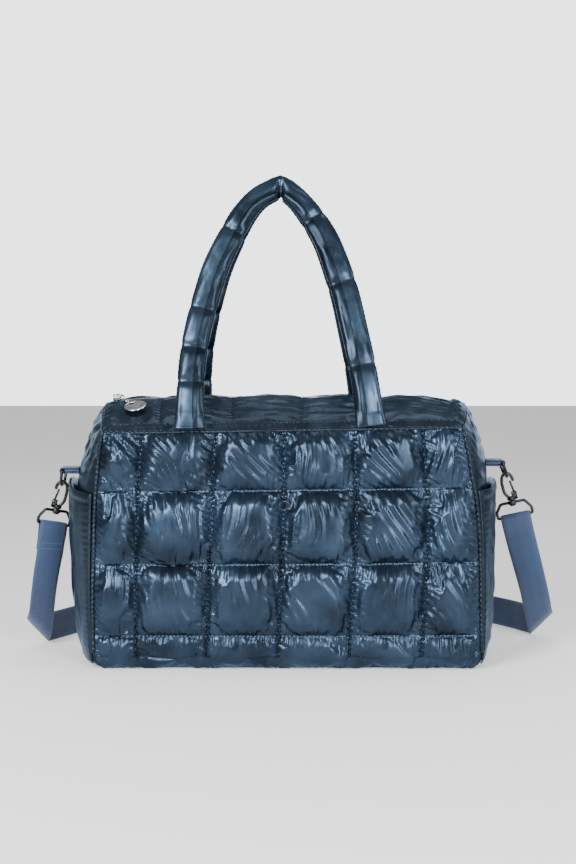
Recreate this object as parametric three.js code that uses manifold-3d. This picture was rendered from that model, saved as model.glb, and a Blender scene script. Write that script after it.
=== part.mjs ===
// Quilted puffer tote bag with two padded handles and a clipped-on shoulder strap, in millimetres.
// The floor is z = 0, x runs to the right and y away from the bag's front.
import * as THREE from 'three';
import { mergeVertices } from 'three/addons/utils/BufferGeometryUtils.js';
import Module from 'manifold-3d';

const wasm = await Module();
wasm.setup();

// Body of the bag
const bagWidth = 391;
const baseDepth = 180;
const topDepth = 154;
const topSeamLeft = 241;
const topSeamRight = 247;
const ridgeHeight = 274;
const ridgeFall = 6;
const edgeRound = 13;
const wall = 2.4;
const gap = 0.3;
const frontBelly = 8;
const quiltPuff = 11;
const sideBulge = 29;
const gussetPad = 1.2;
const roofPad = 3.5;
const weltHeight = 5;

// Zip, its slider, chain and disc
const zipWidth = 13;
const tapeThick = 1.2;
const teethWidth = 5;
const teethHeight = 1.6;
const sliderLength = 9;
const sliderWidth = 5.6;
const sliderHeight = 2.8;
const sliderInset = 9;
const pullWire = 1.3;
const pullRingSize = 9;
const linkCount = 3;
const linkWidth = 5.6;
const discSize = 23;
const discThick = 1.8;
const discHole = 5.4;
const discLean = 6;
const discX = -158;
const discY = -34;
const discClear = 4.5;
const bridgeBar = 1.4;
const bridgeLift = 4;
const bridgeWidth = 2;

// Carry handles
const handleRise = 252;
const handleSpread = 92;
const handleWidth = 28;
const handleThick = 13;
const handleSeat = 3.6;
const handleLean = 69;

// Side pockets
const pocketThick = 3.6;
const pocketGape = 6;
const pocketDip = 9;
const pocketReach = 0.965;

// Shoulder strap and its hardware
const strapWidth = 32;
const strapThick = 1.6;
const foldRadius = 9;
const sewnBack = 30;
const floorGap = 0.5;
const foldEase = 30;
const hangEase = 22;
const floorLead = 30;
const floorSettle = 12;
const layerNear = 3;
const layerFar = 22;
const tabWidth = 25;
const tabReach = 21;
const wire = 3.2;
const ringWidth = 33;
const ringDrop = 16;
const hookWidth = 14;
const hookHeight = 30;
const hookWire = 3.4;
const collarSize = 9;
const collarHeight = 4;
const stemSize = 4;
const stemHead = 6.6;
const eyeSize = 10;
const eyeHeight = 4;
const pinSize = 1.6;
const gateThick = 2.2;
const gateWidth = 4;
const cheekLength = 5.4;
const cheekThick = 1.1;
const seatReach = 6;
const loopDrop = 15;
const loopSlack = 1.2;
const loopShoulder = 6;
const loopRound = 1.8;
const clipTilt = 14;
const sliderBarPitch = 13;
const sliderBar = 2;
const sliderRail = 2.2;
const sliderShare = 0.56;

// Front seams, as shares of half the bag's width, and the gussets' bulge past them, as shares of sideBulge.
// "up" is the share of the way from the bottom roll to the top seam.
const sideRows = [
  { up: 0.00, leftSeam: 1.000, rightSeam: 1.000, leftBulge: 0.72, rightBulge: 0.42 },
  { up: 0.25, leftSeam: 1.004, rightSeam: 0.997, leftBulge: 0.84, rightBulge: 0.52 },
  { up: 0.50, leftSeam: 0.998, rightSeam: 0.990, leftBulge: 0.90, rightBulge: 0.54 },
  { up: 0.68, leftSeam: 0.992, rightSeam: 0.972, leftBulge: 0.94, rightBulge: 0.66 },
  { up: 0.78, leftSeam: 0.985, rightSeam: 0.949, leftBulge: 0.82, rightBulge: 0.76 },
  { up: 0.88, leftSeam: 0.973, rightSeam: 0.931, leftBulge: 0.62, rightBulge: 0.66 },
  { up: 0.94, leftSeam: 0.964, rightSeam: 0.916, leftBulge: 0.48, rightBulge: 0.54 },
  { up: 1.00, leftSeam: 0.954, rightSeam: 0.900, leftBulge: 0.22, rightBulge: 0.40 },
];

// Upright quilt seams, as shares of the panel's width at its base and at its top
const quiltColumns = [
  { base: 0.000, top: 0.000 },
  { base: 0.109, top: 0.111 },
  { base: 0.290, top: 0.315 },
  { base: 0.473, top: 0.506 },
  { base: 0.656, top: 0.700 },
  { base: 0.844, top: 0.888 },
  { base: 1.000, top: 1.000 },
];

// Level quilt seams, as shares of the wall's height, with the puff of the row that starts there
const quiltRows = [
  { up: 0.000, puff: 0.45, steps: [0, 0.5] },
  { up: 0.097, puff: 0.95, steps: [0, 0.14, 0.5, 0.86] },
  { up: 0.413, puff: 1.00, steps: [0, 0.14, 0.5, 0.86] },
  { up: 0.734, puff: 0.90, steps: [0, 0.14, 0.5, 0.86] },
  { up: 1.000, puff: 0.00, steps: [0] },
];
const columnSteps = [0, 0.14, 0.5, 0.86];

// Cross seams of the top panels, as shares of the width, and their lines from the top seam to the zip,
// as shares of the way from the middle to the top seam
const roofSeams = [0, 0.155, 0.352, 0.555, 0.757, 0.963, 1];
const weltLine = 0.93;
const roofLines = [1, weltLine, 0.82, 0.6, 0.35];
const roofEnd = 0.02;
const discFlat = { at: 0.08, from: 0.03, to: 0.07 };

// Handle's middle line, as shares of handleRise and handleSpread, with its section's width and thickness
const handleRows = [
  { rise: 0.00, left: -1.074, right: 0.920, width: 1.10, thick: 0.36 },
  { rise: 0.13, left: -1.074, right: 0.875, width: 1.00, thick: 0.95 },
  { rise: 0.27, left: -1.054, right: 0.815, width: 0.98, thick: 1.00 },
  { rise: 0.40, left: -1.000, right: 0.739, width: 0.98, thick: 1.00 },
  { rise: 0.53, left: -0.913, right: 0.660, width: 0.98, thick: 1.00 },
  { rise: 0.66, left: -0.804, right: 0.551, width: 0.98, thick: 1.00 },
  { rise: 0.78, left: -0.652, right: 0.421, width: 0.94, thick: 1.00 },
  { rise: 0.88, left: -0.500, right: 0.250, width: 0.88, thick: 1.00 },
  { rise: 0.95, left: -0.330, right: 0.090, width: 0.82, thick: 1.00 },
  { rise: 1.00, left: -0.078, right: -0.078, width: 0.80, thick: 1.00 },
];
const leftHandleSeams = [0.05, 0.17, 0.295, 0.44, 0.75, 1];
const rightHandleSeams = [0.05, 0.23, 0.55, 0.82, 1];

// Pocket's lines by share of the wall's height
const pocketMouth = 0.72;
const pocketLines = [0, 0.097, 0.255, 0.413, 0.574, pocketMouth];

// Hook's bent wire from its collar over the crown to its nose, as shares of hookWidth and hookHeight
const hookRows = [
  { out: 0.00, up: 0.06 },
  { out: -0.20, up: 0.14 },
  { out: -0.40, up: 0.30 },
  { out: -0.44, up: 0.52 },
  { out: -0.42, up: 0.74 },
  { out: -0.27, up: 0.92 },
  { out: 0.00, up: 1.00 },
  { out: 0.27, up: 0.93 },
  { out: 0.41, up: 0.79 },
  { out: 0.43, up: 0.66 },
];
const gatePivot = { out: 0.34, up: 0.205 };
const gateTip = { out: 0.17, up: 0.70 };

// Where each side's tab sits, how its strap bar is turned, and how the strap meets the floor. "up" is the
// share of the way to the top seam; the places on the floor are shares of half the bag's width.
const clipRows = {
  left: { side: -1, up: 0.717, ringLean: 6, yaw: 36, foldX: -1.385, foldY: 0.195, heading: 61 },
  right: { side: 1, up: 0.749, ringLean: 20, yaw: -14, foldX: 1.44, foldY: 0.43, heading: 62 },
};

// Plan of the strap's run behind the bag, from the left fold to the right one, as shares of half the width
const floorRun = [
  { x: -1.145, y: 0.60 },
  { x: -0.98, y: 0.685 },
  { x: -0.55, y: 0.665 },
  { x: 0.00, y: 0.655 },
  { x: 0.55, y: 0.68 },
  { x: 0.98, y: 0.80 },
  { x: 1.16, y: 0.83 },
];

const { lerp, clamp, degToRad, smoothstep } = THREE.MathUtils;
const halfWidth = bagWidth / 2;
const halfZip = zipWidth / 2;
const sides = { left: -1, right: 1 };
const vec = (x, y, z) => new THREE.Vector3(x, y, z);

// Smooth value of one column of a table at a place between its rows
function tableValue(rows, key, column, at) {
  let i = 0;
  while (i < rows.length - 2 && at > rows[i + 1][key]) i += 1;
  const slope = (j) => {
    const low = rows[Math.max(j - 1, 0)];
    const high = rows[Math.min(j + 1, rows.length - 1)];
    return (high[column] - low[column]) / (high[key] - low[key]);
  };
  const span = rows[i + 1][key] - rows[i][key];
  const t = clamp((at - rows[i][key]) / span, 0, 1);
  const start = rows[i][column];
  const end = rows[i + 1][column];
  const blend = t * t * (3 - 2 * t);
  const rise = t * (1 - t) * ((1 - t) * slope(i) - t * slope(i + 1)) * span;
  return lerp(start, end, blend) + rise;
}

// A closed mesh whose faces point out, from shared points and triangles
function solid(points, faces) {
  const geometry = new THREE.BufferGeometry();
  const places = points.flatMap((p) => [p.x, p.y, p.z]);
  geometry.setAttribute('position', new THREE.Float32BufferAttribute(places, 3));
  let volume = 0;
  for (let i = 0; i < faces.length; i += 3) {
    const [a, b, c] = [points[faces[i]], points[faces[i + 1]], points[faces[i + 2]]];
    volume += a.dot(b.clone().cross(c));
  }
  const turned = volume < 0 ? faces.slice().reverse() : faces;
  geometry.setIndex(turned);
  geometry.computeVertexNormals();
  return geometry;
}

// A solid lofted through rings that all have as many points. A looped loft joins its last ring to its first.
function loft(rings, looped = false) {
  const count = rings[0].length;
  const faces = [];
  const spans = looped ? rings.length : rings.length - 1;
  for (let i = 0; i < spans; i += 1) {
    const near = i * count;
    const far = ((i + 1) % rings.length) * count;
    for (let j = 0; j < count; j += 1) {
      const k = (j + 1) % count;
      faces.push(near + j, near + k, far + k, near + j, far + k, far + j);
    }
  }
  if (!looped) {
    const end = (rings.length - 1) * count;
    for (let j = 1; j < count - 1; j += 1) {
      faces.push(0, j + 1, j, end, end + j, end + j + 1);
    }
  }
  return solid(rings.flat(), faces);
}

// A padded sheet between an outer and an inner grid of points, closed round its rim
function sheet(outer, inner) {
  const rows = outer.length;
  const columns = outer[0].length;
  const points = [...outer.flat(), ...inner.flat()];
  const back = rows * columns;
  const at = (j, i) => j * columns + i;
  const faces = [];
  for (let j = 0; j < rows - 1; j += 1) {
    for (let i = 0; i < columns - 1; i += 1) {
      const [a, b, c, d] = [at(j, i), at(j, i + 1), at(j + 1, i + 1), at(j + 1, i)];
      faces.push(a, b, c, a, c, d);
      faces.push(back + a, back + c, back + b, back + a, back + d, back + c);
    }
  }
  const rim = [];
  for (let i = 0; i < columns - 1; i += 1) rim.push(at(0, i));
  for (let j = 0; j < rows - 1; j += 1) rim.push(at(j, columns - 1));
  for (let i = columns - 1; i > 0; i -= 1) rim.push(at(rows - 1, i));
  for (let j = rows - 1; j > 0; j -= 1) rim.push(at(j, 0));
  rim.forEach((p, n) => {
    const q = rim[(n + 1) % rim.length];
    faces.push(p, back + p, back + q, p, back + q, q);
  });
  return solid(points, faces);
}

// Steps inside each cell between the edges of a list, and the last edge
function linesThrough(edges, steps) {
  const lines = [];
  edges.slice(0, -1).forEach((edge, i) => {
    steps.forEach((step) => lines.push(lerp(edge, edges[i + 1], step)));
  });
  return [...lines, edges[edges.length - 1]];
}

// Round rise of a padded cell, 0 at its seams and 1 in its middle
const pillow = (t) => (1 - Math.abs(2 * clamp(t, 0, 1) - 1) ** 3.2) ** 0.6;

// Gusset's round bulge from the front seam, across = -1, to the back seam, across = 1
const arch = (across) => (1 - Math.min(Math.abs(across), 1) ** 2.2) ** 0.85;

// Levels of the upright walls: three in the bottom roll, then the lines of the quilt rows
const rollSteps = [0, 1, 2];
const wallShares = quiltRows.slice(0, -1).flatMap((row, i) => (
  row.steps.map((step) => lerp(row.up, quiltRows[i + 1].up, step))
));
const wallLevels = [
  ...rollSteps.map((step) => ({ angle: (step / rollSteps.length) * (Math.PI / 2), up: 0 })),
  ...[...wallShares, 1].map((up) => ({ angle: Math.PI / 2, up })),
];

// Height of a level under a given top, and how far the wall is tucked in there, at a depth below the skin
function levelPlace(level, top, depth) {
  const round = edgeRound - depth;
  const tuck = edgeRound - round * Math.sin(level.angle);
  const start = gap + edgeRound - round * Math.cos(level.angle);
  return { tuck, z: lerp(start, top - depth, level.up) };
}

const seamX = (name, up) => halfWidth * tableValue(sideRows, 'up', `${name}Seam`, up);
const bulgeX = (name, up) => sideBulge * tableValue(sideRows, 'up', `${name}Bulge`, up);
const halfDepth = (up) => lerp(baseDepth, topDepth, up) / 2;

// Height of the top seam and of the zip's ridge along the width, and of the slope between them
const topSeam = (across) => lerp(topSeamLeft, topSeamRight, across);
const ridge = (across) => ridgeHeight - ridgeFall * Math.abs(2 * across - 1) ** 6;
function roofHeight(across, back) {
  const flat = halfZip / (topDepth / 2);
  const climb = clamp((1 - back) / (1 - flat), 0, 1);
  return lerp(topSeam(across), ridge(across), 1 - (1 - climb) ** 1.15);
}

// Point of the front wall's skin, or of a surface at a depth below it
function frontPoint(across, level, depth) {
  const place = levelPlace(level, topSeam(across), depth);
  const left = -(seamX('left', level.up) - place.tuck);
  const right = seamX('right', level.up) - place.tuck;
  const belly = frontBelly * (Math.sin(Math.PI * across) * Math.sin(Math.PI * level.up)) ** 0.7;
  return vec(lerp(left, right, across), -(halfDepth(level.up) - place.tuck + Math.max(belly, 0)), place.z);
}

// Point of a gusset's skin, or of a surface at a depth below it
function gussetPoint(name, across, level, depth) {
  const end = name === 'left' ? 0 : 1;
  const place = levelPlace(level, roofHeight(end, Math.abs(across)), depth);
  const x = seamX(name, level.up) - place.tuck + bulgeX(name, level.up) * arch(across);
  return vec(sides[name] * x, across * (halfDepth(level.up) - place.tuck), place.z);
}

// Point of the front slope of the top, or of a surface at a depth below it
function roofPoint(across, back, depth) {
  const edge = (name) => seamX(name, 1) - depth + bulgeX(name, 1) * arch(back);
  const flat = halfZip / (topDepth / 2);
  const y = lerp(halfZip, topDepth / 2 - depth, (back - flat) / (1 - flat));
  return vec(lerp(-edge('left'), edge('right'), across), -y, roofHeight(across, back) - depth);
}

// Puff of the quilted wall at a place across it and a share of its height
function quiltHeight(across, up) {
  const edges = quiltColumns.map((column) => lerp(column.base, column.top, up));
  let i = 0;
  while (i < edges.length - 2 && across > edges[i + 1]) i += 1;
  let j = 0;
  while (j < quiltRows.length - 2 && up > quiltRows[j + 1].up) j += 1;
  const s = (across - edges[i]) / (edges[i + 1] - edges[i]);
  const t = (up - quiltRows[j].up) / (quiltRows[j + 1].up - quiltRows[j].up);
  return quiltPuff * quiltRows[j].puff * pillow(s) * pillow(t);
}

// Mirrors a grid of points to the back of the bag
const toBack = (grid) => grid.map((row) => row.map((p) => vec(p.x, -p.y, p.z)));

function quiltedWall(facing) {
  const columns = [];
  quiltColumns.slice(0, -1).forEach((column, i) => {
    const next = quiltColumns[i + 1];
    columnSteps.forEach((step) => columns.push({
      base: lerp(column.base, next.base, step),
      top: lerp(column.top, next.top, step),
    }));
  });
  columns.push(quiltColumns[quiltColumns.length - 1]);
  const trim = gap / 2 / bagWidth;
  const outer = [];
  const inner = [];
  wallLevels.forEach((level) => {
    const shares = columns.map((column) => clamp(lerp(column.base, column.top, level.up), trim, 1 - trim));
    const trimmed = { ...level, up: Math.min(level.up, 1 - gap / 2 / topSeamLeft) };
    outer.push(shares.map((across) => {
      const skin = frontPoint(across, trimmed, 0);
      return skin.add(vec(0, -quiltHeight(across, trimmed.up), 0));
    }));
    inner.push(shares.map((across) => frontPoint(across, trimmed, wall)));
  });
  return facing === 'front' ? sheet(outer, inner) : sheet(toBack(outer), toBack(inner));
}

// Lines of the gussets from front to back, shared with the top panels' lines
const flatShare = halfZip / (topDepth / 2);
const sideLines = [...roofLines.map((back) => -back), -flatShare, flatShare, ...roofLines.slice().reverse()];

function gusset(name) {
  const trim = gap / 2 / (baseDepth / 2);
  const outer = [];
  const inner = [];
  wallLevels.forEach((level) => {
    const trimmed = { ...level, up: Math.min(level.up, 1 - gap / 2 / topSeamLeft) };
    const lines = sideLines.map((line) => clamp(line, trim - 1, 1 - trim));
    outer.push(lines.map((line) => {
      const pad = gussetPad * arch(line) * pillow(trimmed.up);
      return gussetPoint(name, line, trimmed, 0).add(vec(sides[name] * pad, 0, 0));
    }));
    inner.push(lines.map((line) => gussetPoint(name, line, trimmed, wall)));
  });
  return sheet(outer, inner);
}

// The base's outline is where the walls' bottom rolls end
function basePanel() {
  const floor = wallLevels[0];
  const ends = (name) => sideLines.map((line) => gussetPoint(name, line, floor, 0));
  const inset = (p) => new THREE.Vector2(p.x - Math.sign(p.x) * gap, p.y - Math.sign(p.y) * gap);
  const outline = [...ends('right').map(inset), ...ends('left').reverse().map(inset)];
  return new THREE.ExtrudeGeometry(new THREE.Shape(outline), { depth: wall, bevelEnabled: false });
}

// How much of the top panel's pad is free at a place: it lies flat where a handle is sewn on, and where the
// zip's disc and chain lie
function roofFreedom(x, y) {
  const legs = ['left', 'right'].map((name) => handleSpread * handleRows[0][name]);
  const beside = (leg) => smoothstep(Math.abs(x - leg), handleWidth * 0.6, handleWidth);
  const besideLegs = Math.min(...legs.map(beside));
  const awayFromSeam = smoothstep(topDepth / 2 - Math.abs(y), handleThick, 2 * handleThick);
  return Math.max(besideLegs, awayFromSeam);
}

function topPanel(facing) {
  const lines = linesThrough(roofSeams, [0, 0.2, 0.5, 0.8]);
  const trim = gap / 2 / bagWidth;
  const backs = [...roofLines, flatShare];
  const outer = [];
  const inner = [];
  backs.forEach((back, row) => {
    const last = row === backs.length - 1;
    const first = row === 0;
    const line = first ? 1 - gap / 2 / (topDepth / 2) : back;
    const shares = lines.map((across) => clamp(across, trim, 1 - trim));
    outer.push(shares.map((across) => {
      const skin = roofPoint(across, line, 0);
      const cell = roofSeams.findIndex((seam, i) => i > 0 && across <= seam);
      const along = (across - roofSeams[cell - 1]) / (roofSeams[cell] - roofSeams[cell - 1]);
      const welt = weltHeight * Math.max(0, 1 - Math.abs(back - weltLine) / (1 - weltLine));
      const pad = first || last ? 0 : roofPad * pillow(along) + welt;
      const ends = smoothstep(Math.min(across, 1 - across), 0, roofEnd);
      const underDisc = facing === 'front' && back < weltLine;
      const disc = underDisc ? smoothstep(Math.abs(across - discFlat.at), discFlat.from, discFlat.to) : 1;
      return skin.add(vec(0, 0, pad * ends * disc * roofFreedom(skin.x, skin.y)));
    }));
    inner.push(shares.map((across) => roofPoint(across, line, wall)));
  });
  return facing === 'front' ? sheet(outer, inner) : sheet(toBack(outer), toBack(inner));
}

// Tape with its raised line of teeth, between the top panels and the gussets' tops
function zip() {
  const shares = linesThrough([0, 0.1, 0.9, 1], [0, 0.33, 0.67]);
  const half = halfZip - gap;
  const rings = shares.map((share) => {
    const edge = (name) => sides[name] * (seamX(name, 1) + bulgeX(name, 1) * arch(0) - wall - 2 * gap);
    const x = lerp(edge('left'), edge('right'), share);
    const low = ridge(share) - wall;
    const top = low + tapeThick;
    return [
      vec(x, -half, low),
      vec(x, half, low),
      vec(x, half, top),
      vec(x, teethWidth / 2, top),
      vec(x, teethWidth / 2, top + teethHeight),
      vec(x, -teethWidth / 2, top + teethHeight),
      vec(x, -teethWidth / 2, top),
      vec(x, -half, top),
    ];
  });
  return loft(rings);
}

// Ring of a section swept round a closed line. "side" gives the section's second direction at each point.
function ringAlong(points, side, radius, count) {
  const total = points.length;
  return points.map((p, i) => {
    const ahead = points[(i + 1) % total].clone().sub(points[(i + total - 1) % total]).normalize();
    const out = side.clone().cross(ahead).normalize();
    return Array.from({ length: count }, (_, j) => {
      const angle = ((j + 0.5) / count) * 2 * Math.PI;
      return p.clone()
        .addScaledVector(out, radius * Math.cos(angle))
        .addScaledVector(side, radius * Math.sin(angle));
    });
  });
}

// A wire link: an oval of outer size length x width in the plane of "ahead" and "across"
function link(center, ahead, across, length, width, thick) {
  const straight = (length - width) / 2;
  const round = (width - thick) / 2;
  const points = Array.from({ length: 12 }, (_, i) => {
    const angle = ((i + 0.5) / 12) * 2 * Math.PI;
    const shift = Math.sign(Math.cos(angle)) * straight;
    return center.clone()
      .addScaledVector(ahead, round * Math.cos(angle) + shift)
      .addScaledVector(across, round * Math.sin(angle));
  });
  const side = ahead.clone().cross(across).normalize();
  return loft(ringAlong(points, side, thick / 2, 6), true);
}

// Boolean joins and cuts
function toManifold(geometry) {
  const bare = geometry.clone();
  bare.deleteAttribute('normal');
  if (bare.getAttribute('uv')) bare.deleteAttribute('uv');
  const merged = mergeVertices(bare, 1e-4);
  return new wasm.Manifold(new wasm.Mesh({
    numProp: 3,
    vertProperties: new Float32Array(merged.getAttribute('position').array),
    triVerts: new Uint32Array(merged.getIndex().array),
  }));
}
function fromManifold(body) {
  const mesh = body.getMesh();
  const geometry = new THREE.BufferGeometry();
  const places = Float32Array.from(mesh.vertProperties);
  geometry.setAttribute('position', new THREE.Float32BufferAttribute(places, 3));
  geometry.setIndex(Array.from(mesh.triVerts));
  geometry.computeVertexNormals();
  return geometry;
}
const joined = (first, ...rest) => fromManifold(
  rest.reduce((sum, g) => sum.add(toManifold(g)), toManifold(first)),
);
const cut = (first, ...rest) => fromManifold(
  rest.reduce((sum, g) => sum.subtract(toManifold(g)), toManifold(first)),
);

// Moves a geometry made in local axes (x = out, y = side, z = up) to its place in the bag
function placed(geometry, origin, out, side, up) {
  const frame = new THREE.Matrix4().makeBasis(out, side, up).setPosition(origin);
  return geometry.clone().applyMatrix4(frame);
}

// A round bar along local z between two heights
function post(radius, low, high, count = 12) {
  const geometry = new THREE.CylinderGeometry(radius, radius, high - low, count);
  return geometry.rotateX(Math.PI / 2).translate(0, 0, (low + high) / 2);
}

// Slider's body over the teeth at the left end, with a bridge that the pull's ring goes through
const widthShare = (x) => clamp((x + seamX('left', 1)) / (seamX('left', 1) + seamX('right', 1)), 0, 1);
const teethTop = (x) => ridge(widthShare(x)) - wall + tapeThick + teethHeight;
const sliderX = -(seamX('left', 1) + bulgeX('left', 1) - wall) + sliderInset;
const sliderEnds = [sliderX - sliderLength / 2, sliderX + sliderLength / 2];
const sliderAlong = vec(sliderLength, 0, teethTop(sliderEnds[1]) - teethTop(sliderEnds[0])).normalize();
const sliderUp = sliderAlong.clone().cross(vec(0, 1, 0));
const sliderAt = vec(sliderX, 0, (teethTop(sliderEnds[0]) + teethTop(sliderEnds[1])) / 2 + 3 * gap);
const bridgeLength = sliderLength * 0.8;
function zipSlider() {
  const body = new THREE.BoxGeometry(sliderLength, sliderWidth, sliderHeight);
  body.translate(0, 0, sliderHeight / 2);
  const bridge = new THREE.BoxGeometry(bridgeLength, bridgeWidth, bridgeLift);
  bridge.translate(0, 0, sliderHeight + bridgeLift / 2);
  const hole = new THREE.BoxGeometry(bridgeLength - 2 * bridgeBar, 2 * bridgeWidth, bridgeLift - bridgeBar);
  hole.translate(0, 0, sliderHeight + (bridgeLift - bridgeBar) / 2);
  return placed(cut(joined(body, bridge), hole), sliderAt, sliderAlong, vec(0, 1, 0), sliderUp);
}

// The disc lies along the front slope by the slider, its hole toward it
const discAt = vec(discX, discY, roofHeight(widthShare(discX), Math.abs(discY) / (topDepth / 2)));
const slope = Math.atan2(ridge(widthShare(discX)) - topSeam(widthShare(discX)), topDepth / 2 - halfZip);
const discUp = vec(0, 0, 1)
  .applyAxisAngle(vec(0, 1, 0), -degToRad(discLean))
  .applyAxisAngle(vec(1, 0, 0), slope);
discAt.addScaledVector(discUp, discClear);
const linkStep = pullWire + gap;

// The pull's ring lies flat through the bridge's hole and round its right leg
const ringRound = (pullRingSize - pullWire) / 2;
const bridgeLeg = sliderAt.clone()
  .addScaledVector(sliderAlong, (bridgeLength - bridgeBar) / 2)
  .addScaledVector(sliderUp, sliderHeight + (bridgeLift - bridgeBar) / 2);
const ringAhead = discAt.clone().sub(bridgeLeg).setZ(0).normalize();
const pullRingAt = bridgeLeg.clone().addScaledVector(ringAhead, ringRound - linkStep - bridgeBar / 2);
const discAhead = ringAhead.clone().negate();
discAhead.addScaledVector(discUp, -discAhead.dot(discUp)).normalize();
const holeAt = discAt.clone().addScaledVector(discAhead, (discSize - discHole) / 2 - bridgeBar);

function pullDisc() {
  const axes = [discAhead, discUp.clone().cross(discAhead), discUp];
  const disc = placed(post(discSize / 2, -discThick / 2, discThick / 2, 28), discAt, ...axes);
  return cut(disc, placed(post(discHole / 2, -discThick, discThick, 10), holeAt, ...axes));
}

// Ring and links between the bridge and the disc, each turned a quarter from the last
function chainPieces() {
  const start = pullRingAt.clone().addScaledVector(ringAhead, ringRound - linkStep);
  const end = holeAt.clone().addScaledVector(discAhead, discHole / 2 - pullWire / 2 - 2.5 * gap);
  const ahead = end.clone().sub(start).normalize();
  const level = vec(-ahead.y, ahead.x, 0).normalize();
  const upright = level.clone().cross(ahead).normalize();
  const middle = (end.distanceTo(start) + (linkCount - 1) * linkStep) / linkCount;
  const flat = vec(-ringAhead.y, ringAhead.x, 0);
  const pieces = { pull_ring: link(pullRingAt, ringAhead, flat, pullRingSize, pullRingSize, pullWire) };
  for (let i = 0; i < linkCount; i += 1) {
    const center = start.clone().addScaledVector(ahead, i * (middle - linkStep) + middle / 2);
    const across = i % 2 === 0 ? upright : level;
    pieces[`pull_link_${i + 1}`] = link(center, ahead, across, middle + pullWire, linkWidth, pullWire);
  }
  return pieces;
}

// A handle's middle line on one leg, from its foot at the top seam to the shared peak
function handleLine(name, facing) {
  const toward = facing === 'front' ? -1 : 1;
  const points = handleRows.map((row) => {
    const x = handleSpread * row[name];
    const foot = topSeam(widthShare(handleSpread * handleRows[0][name])) + 1.6;
    const peak = (topSeamLeft + topSeamRight) / 2 + handleRise;
    const near = topDepth / 2 + handleSeat - (handleLean + handleSeat) * row.rise;
    return vec(x, toward * Math.max(near, handleThick / 2 + gap), lerp(foot, peak, row.rise));
  });
  return new THREE.CatmullRomCurve3(points, false, 'centripetal');
}

// Padded handle: a flat oval section that narrows at each cross seam
function handle(facing) {
  const toward = facing === 'front' ? -1 : 1;
  const face = vec(0, toward * handleRise, handleLean).normalize();
  const corners = 8;
  const ring = (center, out, width, thick) => Array.from({ length: corners }, (_, j) => {
    const angle = ((j + 0.5) / corners) * 2 * Math.PI;
    const c = Math.cos(angle);
    const s = Math.sin(angle);
    const flat = Math.sign(c) * Math.abs(c) ** 0.75;
    const round = Math.sign(s) * Math.abs(s) ** 0.85;
    return center.clone()
      .addScaledVector(out, (flat * width) / 2)
      .addScaledVector(face, (round * thick) / 2);
  });
  const leg = (name, seams) => {
    const curve = handleLine(name, facing);
    const places = [0, ...linesThrough(seams, [0, 0.14, 0.5, 0.86])];
    return places.map((at, i) => {
      const center = curve.getPointAt(at);
      const ahead = curve.getTangentAt(at);
      const out = name === 'left' ? face.clone().cross(ahead) : ahead.clone().cross(face);
      const rise = clamp((center.z - topSeamLeft) / handleRise, 0, 1);
      const width = handleWidth * tableValue(handleRows, 'rise', 'width', rise);
      const thick = handleThick * tableValue(handleRows, 'rise', 'thick', rise);
      const atSeam = seams.some((seam) => Math.abs(seam - at) < 1e-6) && i > 1;
      const pinch = atSeam ? { width: 0.93, thick: 0.66 } : { width: 1, thick: 1 };
      const outward = toward < 0 ? out : out.negate();
      if (at > 1 - 1e-6) return ring(center, vec(0, 0, 1), width, thick * pinch.thick);
      return ring(center, outward.normalize(), width * pinch.width, thick * pinch.thick);
    });
  };
  const left = leg('left', leftHandleSeams);
  const right = leg('right', rightHandleSeams);
  // Both legs turn their sections the same way round, and the right one is walked from its peak down
  return loft([...left, ...right.slice(0, -1).reverse()]);
}

// Open pocket sewn over the lower part of a gusset, gaping at its mouth
function pocket(name) {
  const lines = sideLines.map((line) => clamp(line, -pocketReach, pocketReach));
  const levels = [wallLevels[2], ...pocketLines.map((up) => ({ angle: Math.PI / 2, up }))];
  const outer = [];
  const inner = [];
  levels.forEach((level, row) => {
    const high = level.up / pocketMouth;
    const thick = (line) => (row === 0 ? 0.55 : 1) * lerp(0.6, 1, arch(line)) * pocketThick;
    const skin = (across, up) => {
      const dip = row === levels.length - 1 ? (pocketDip / topSeamLeft) * arch(across) : 0;
      return gussetPoint(name, across, { ...level, up: Math.max(up - dip, 0) }, 0);
    };
    const outRow = [];
    const inRow = [];
    lines.forEach((line) => {
      const here = skin(line, level.up);
      const roll = Math.cos(level.angle);
      const away = vec(sides[name] * Math.sin(level.angle), line * roll * 0.2, -roll).normalize();
      const pad = gussetPad * arch(line) * pillow(level.up);
      const clear = 2 * gap + pad + pocketGape * high ** 0.6 * arch(line) ** 0.6;
      inRow.push(here.clone().addScaledVector(away, clear));
      outRow.push(here.clone().addScaledVector(away, clear + thick(line)));
    });
    outer.push(outRow);
    inner.push(inRow);
  });
  return sheet(outer, inner);
}

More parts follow.
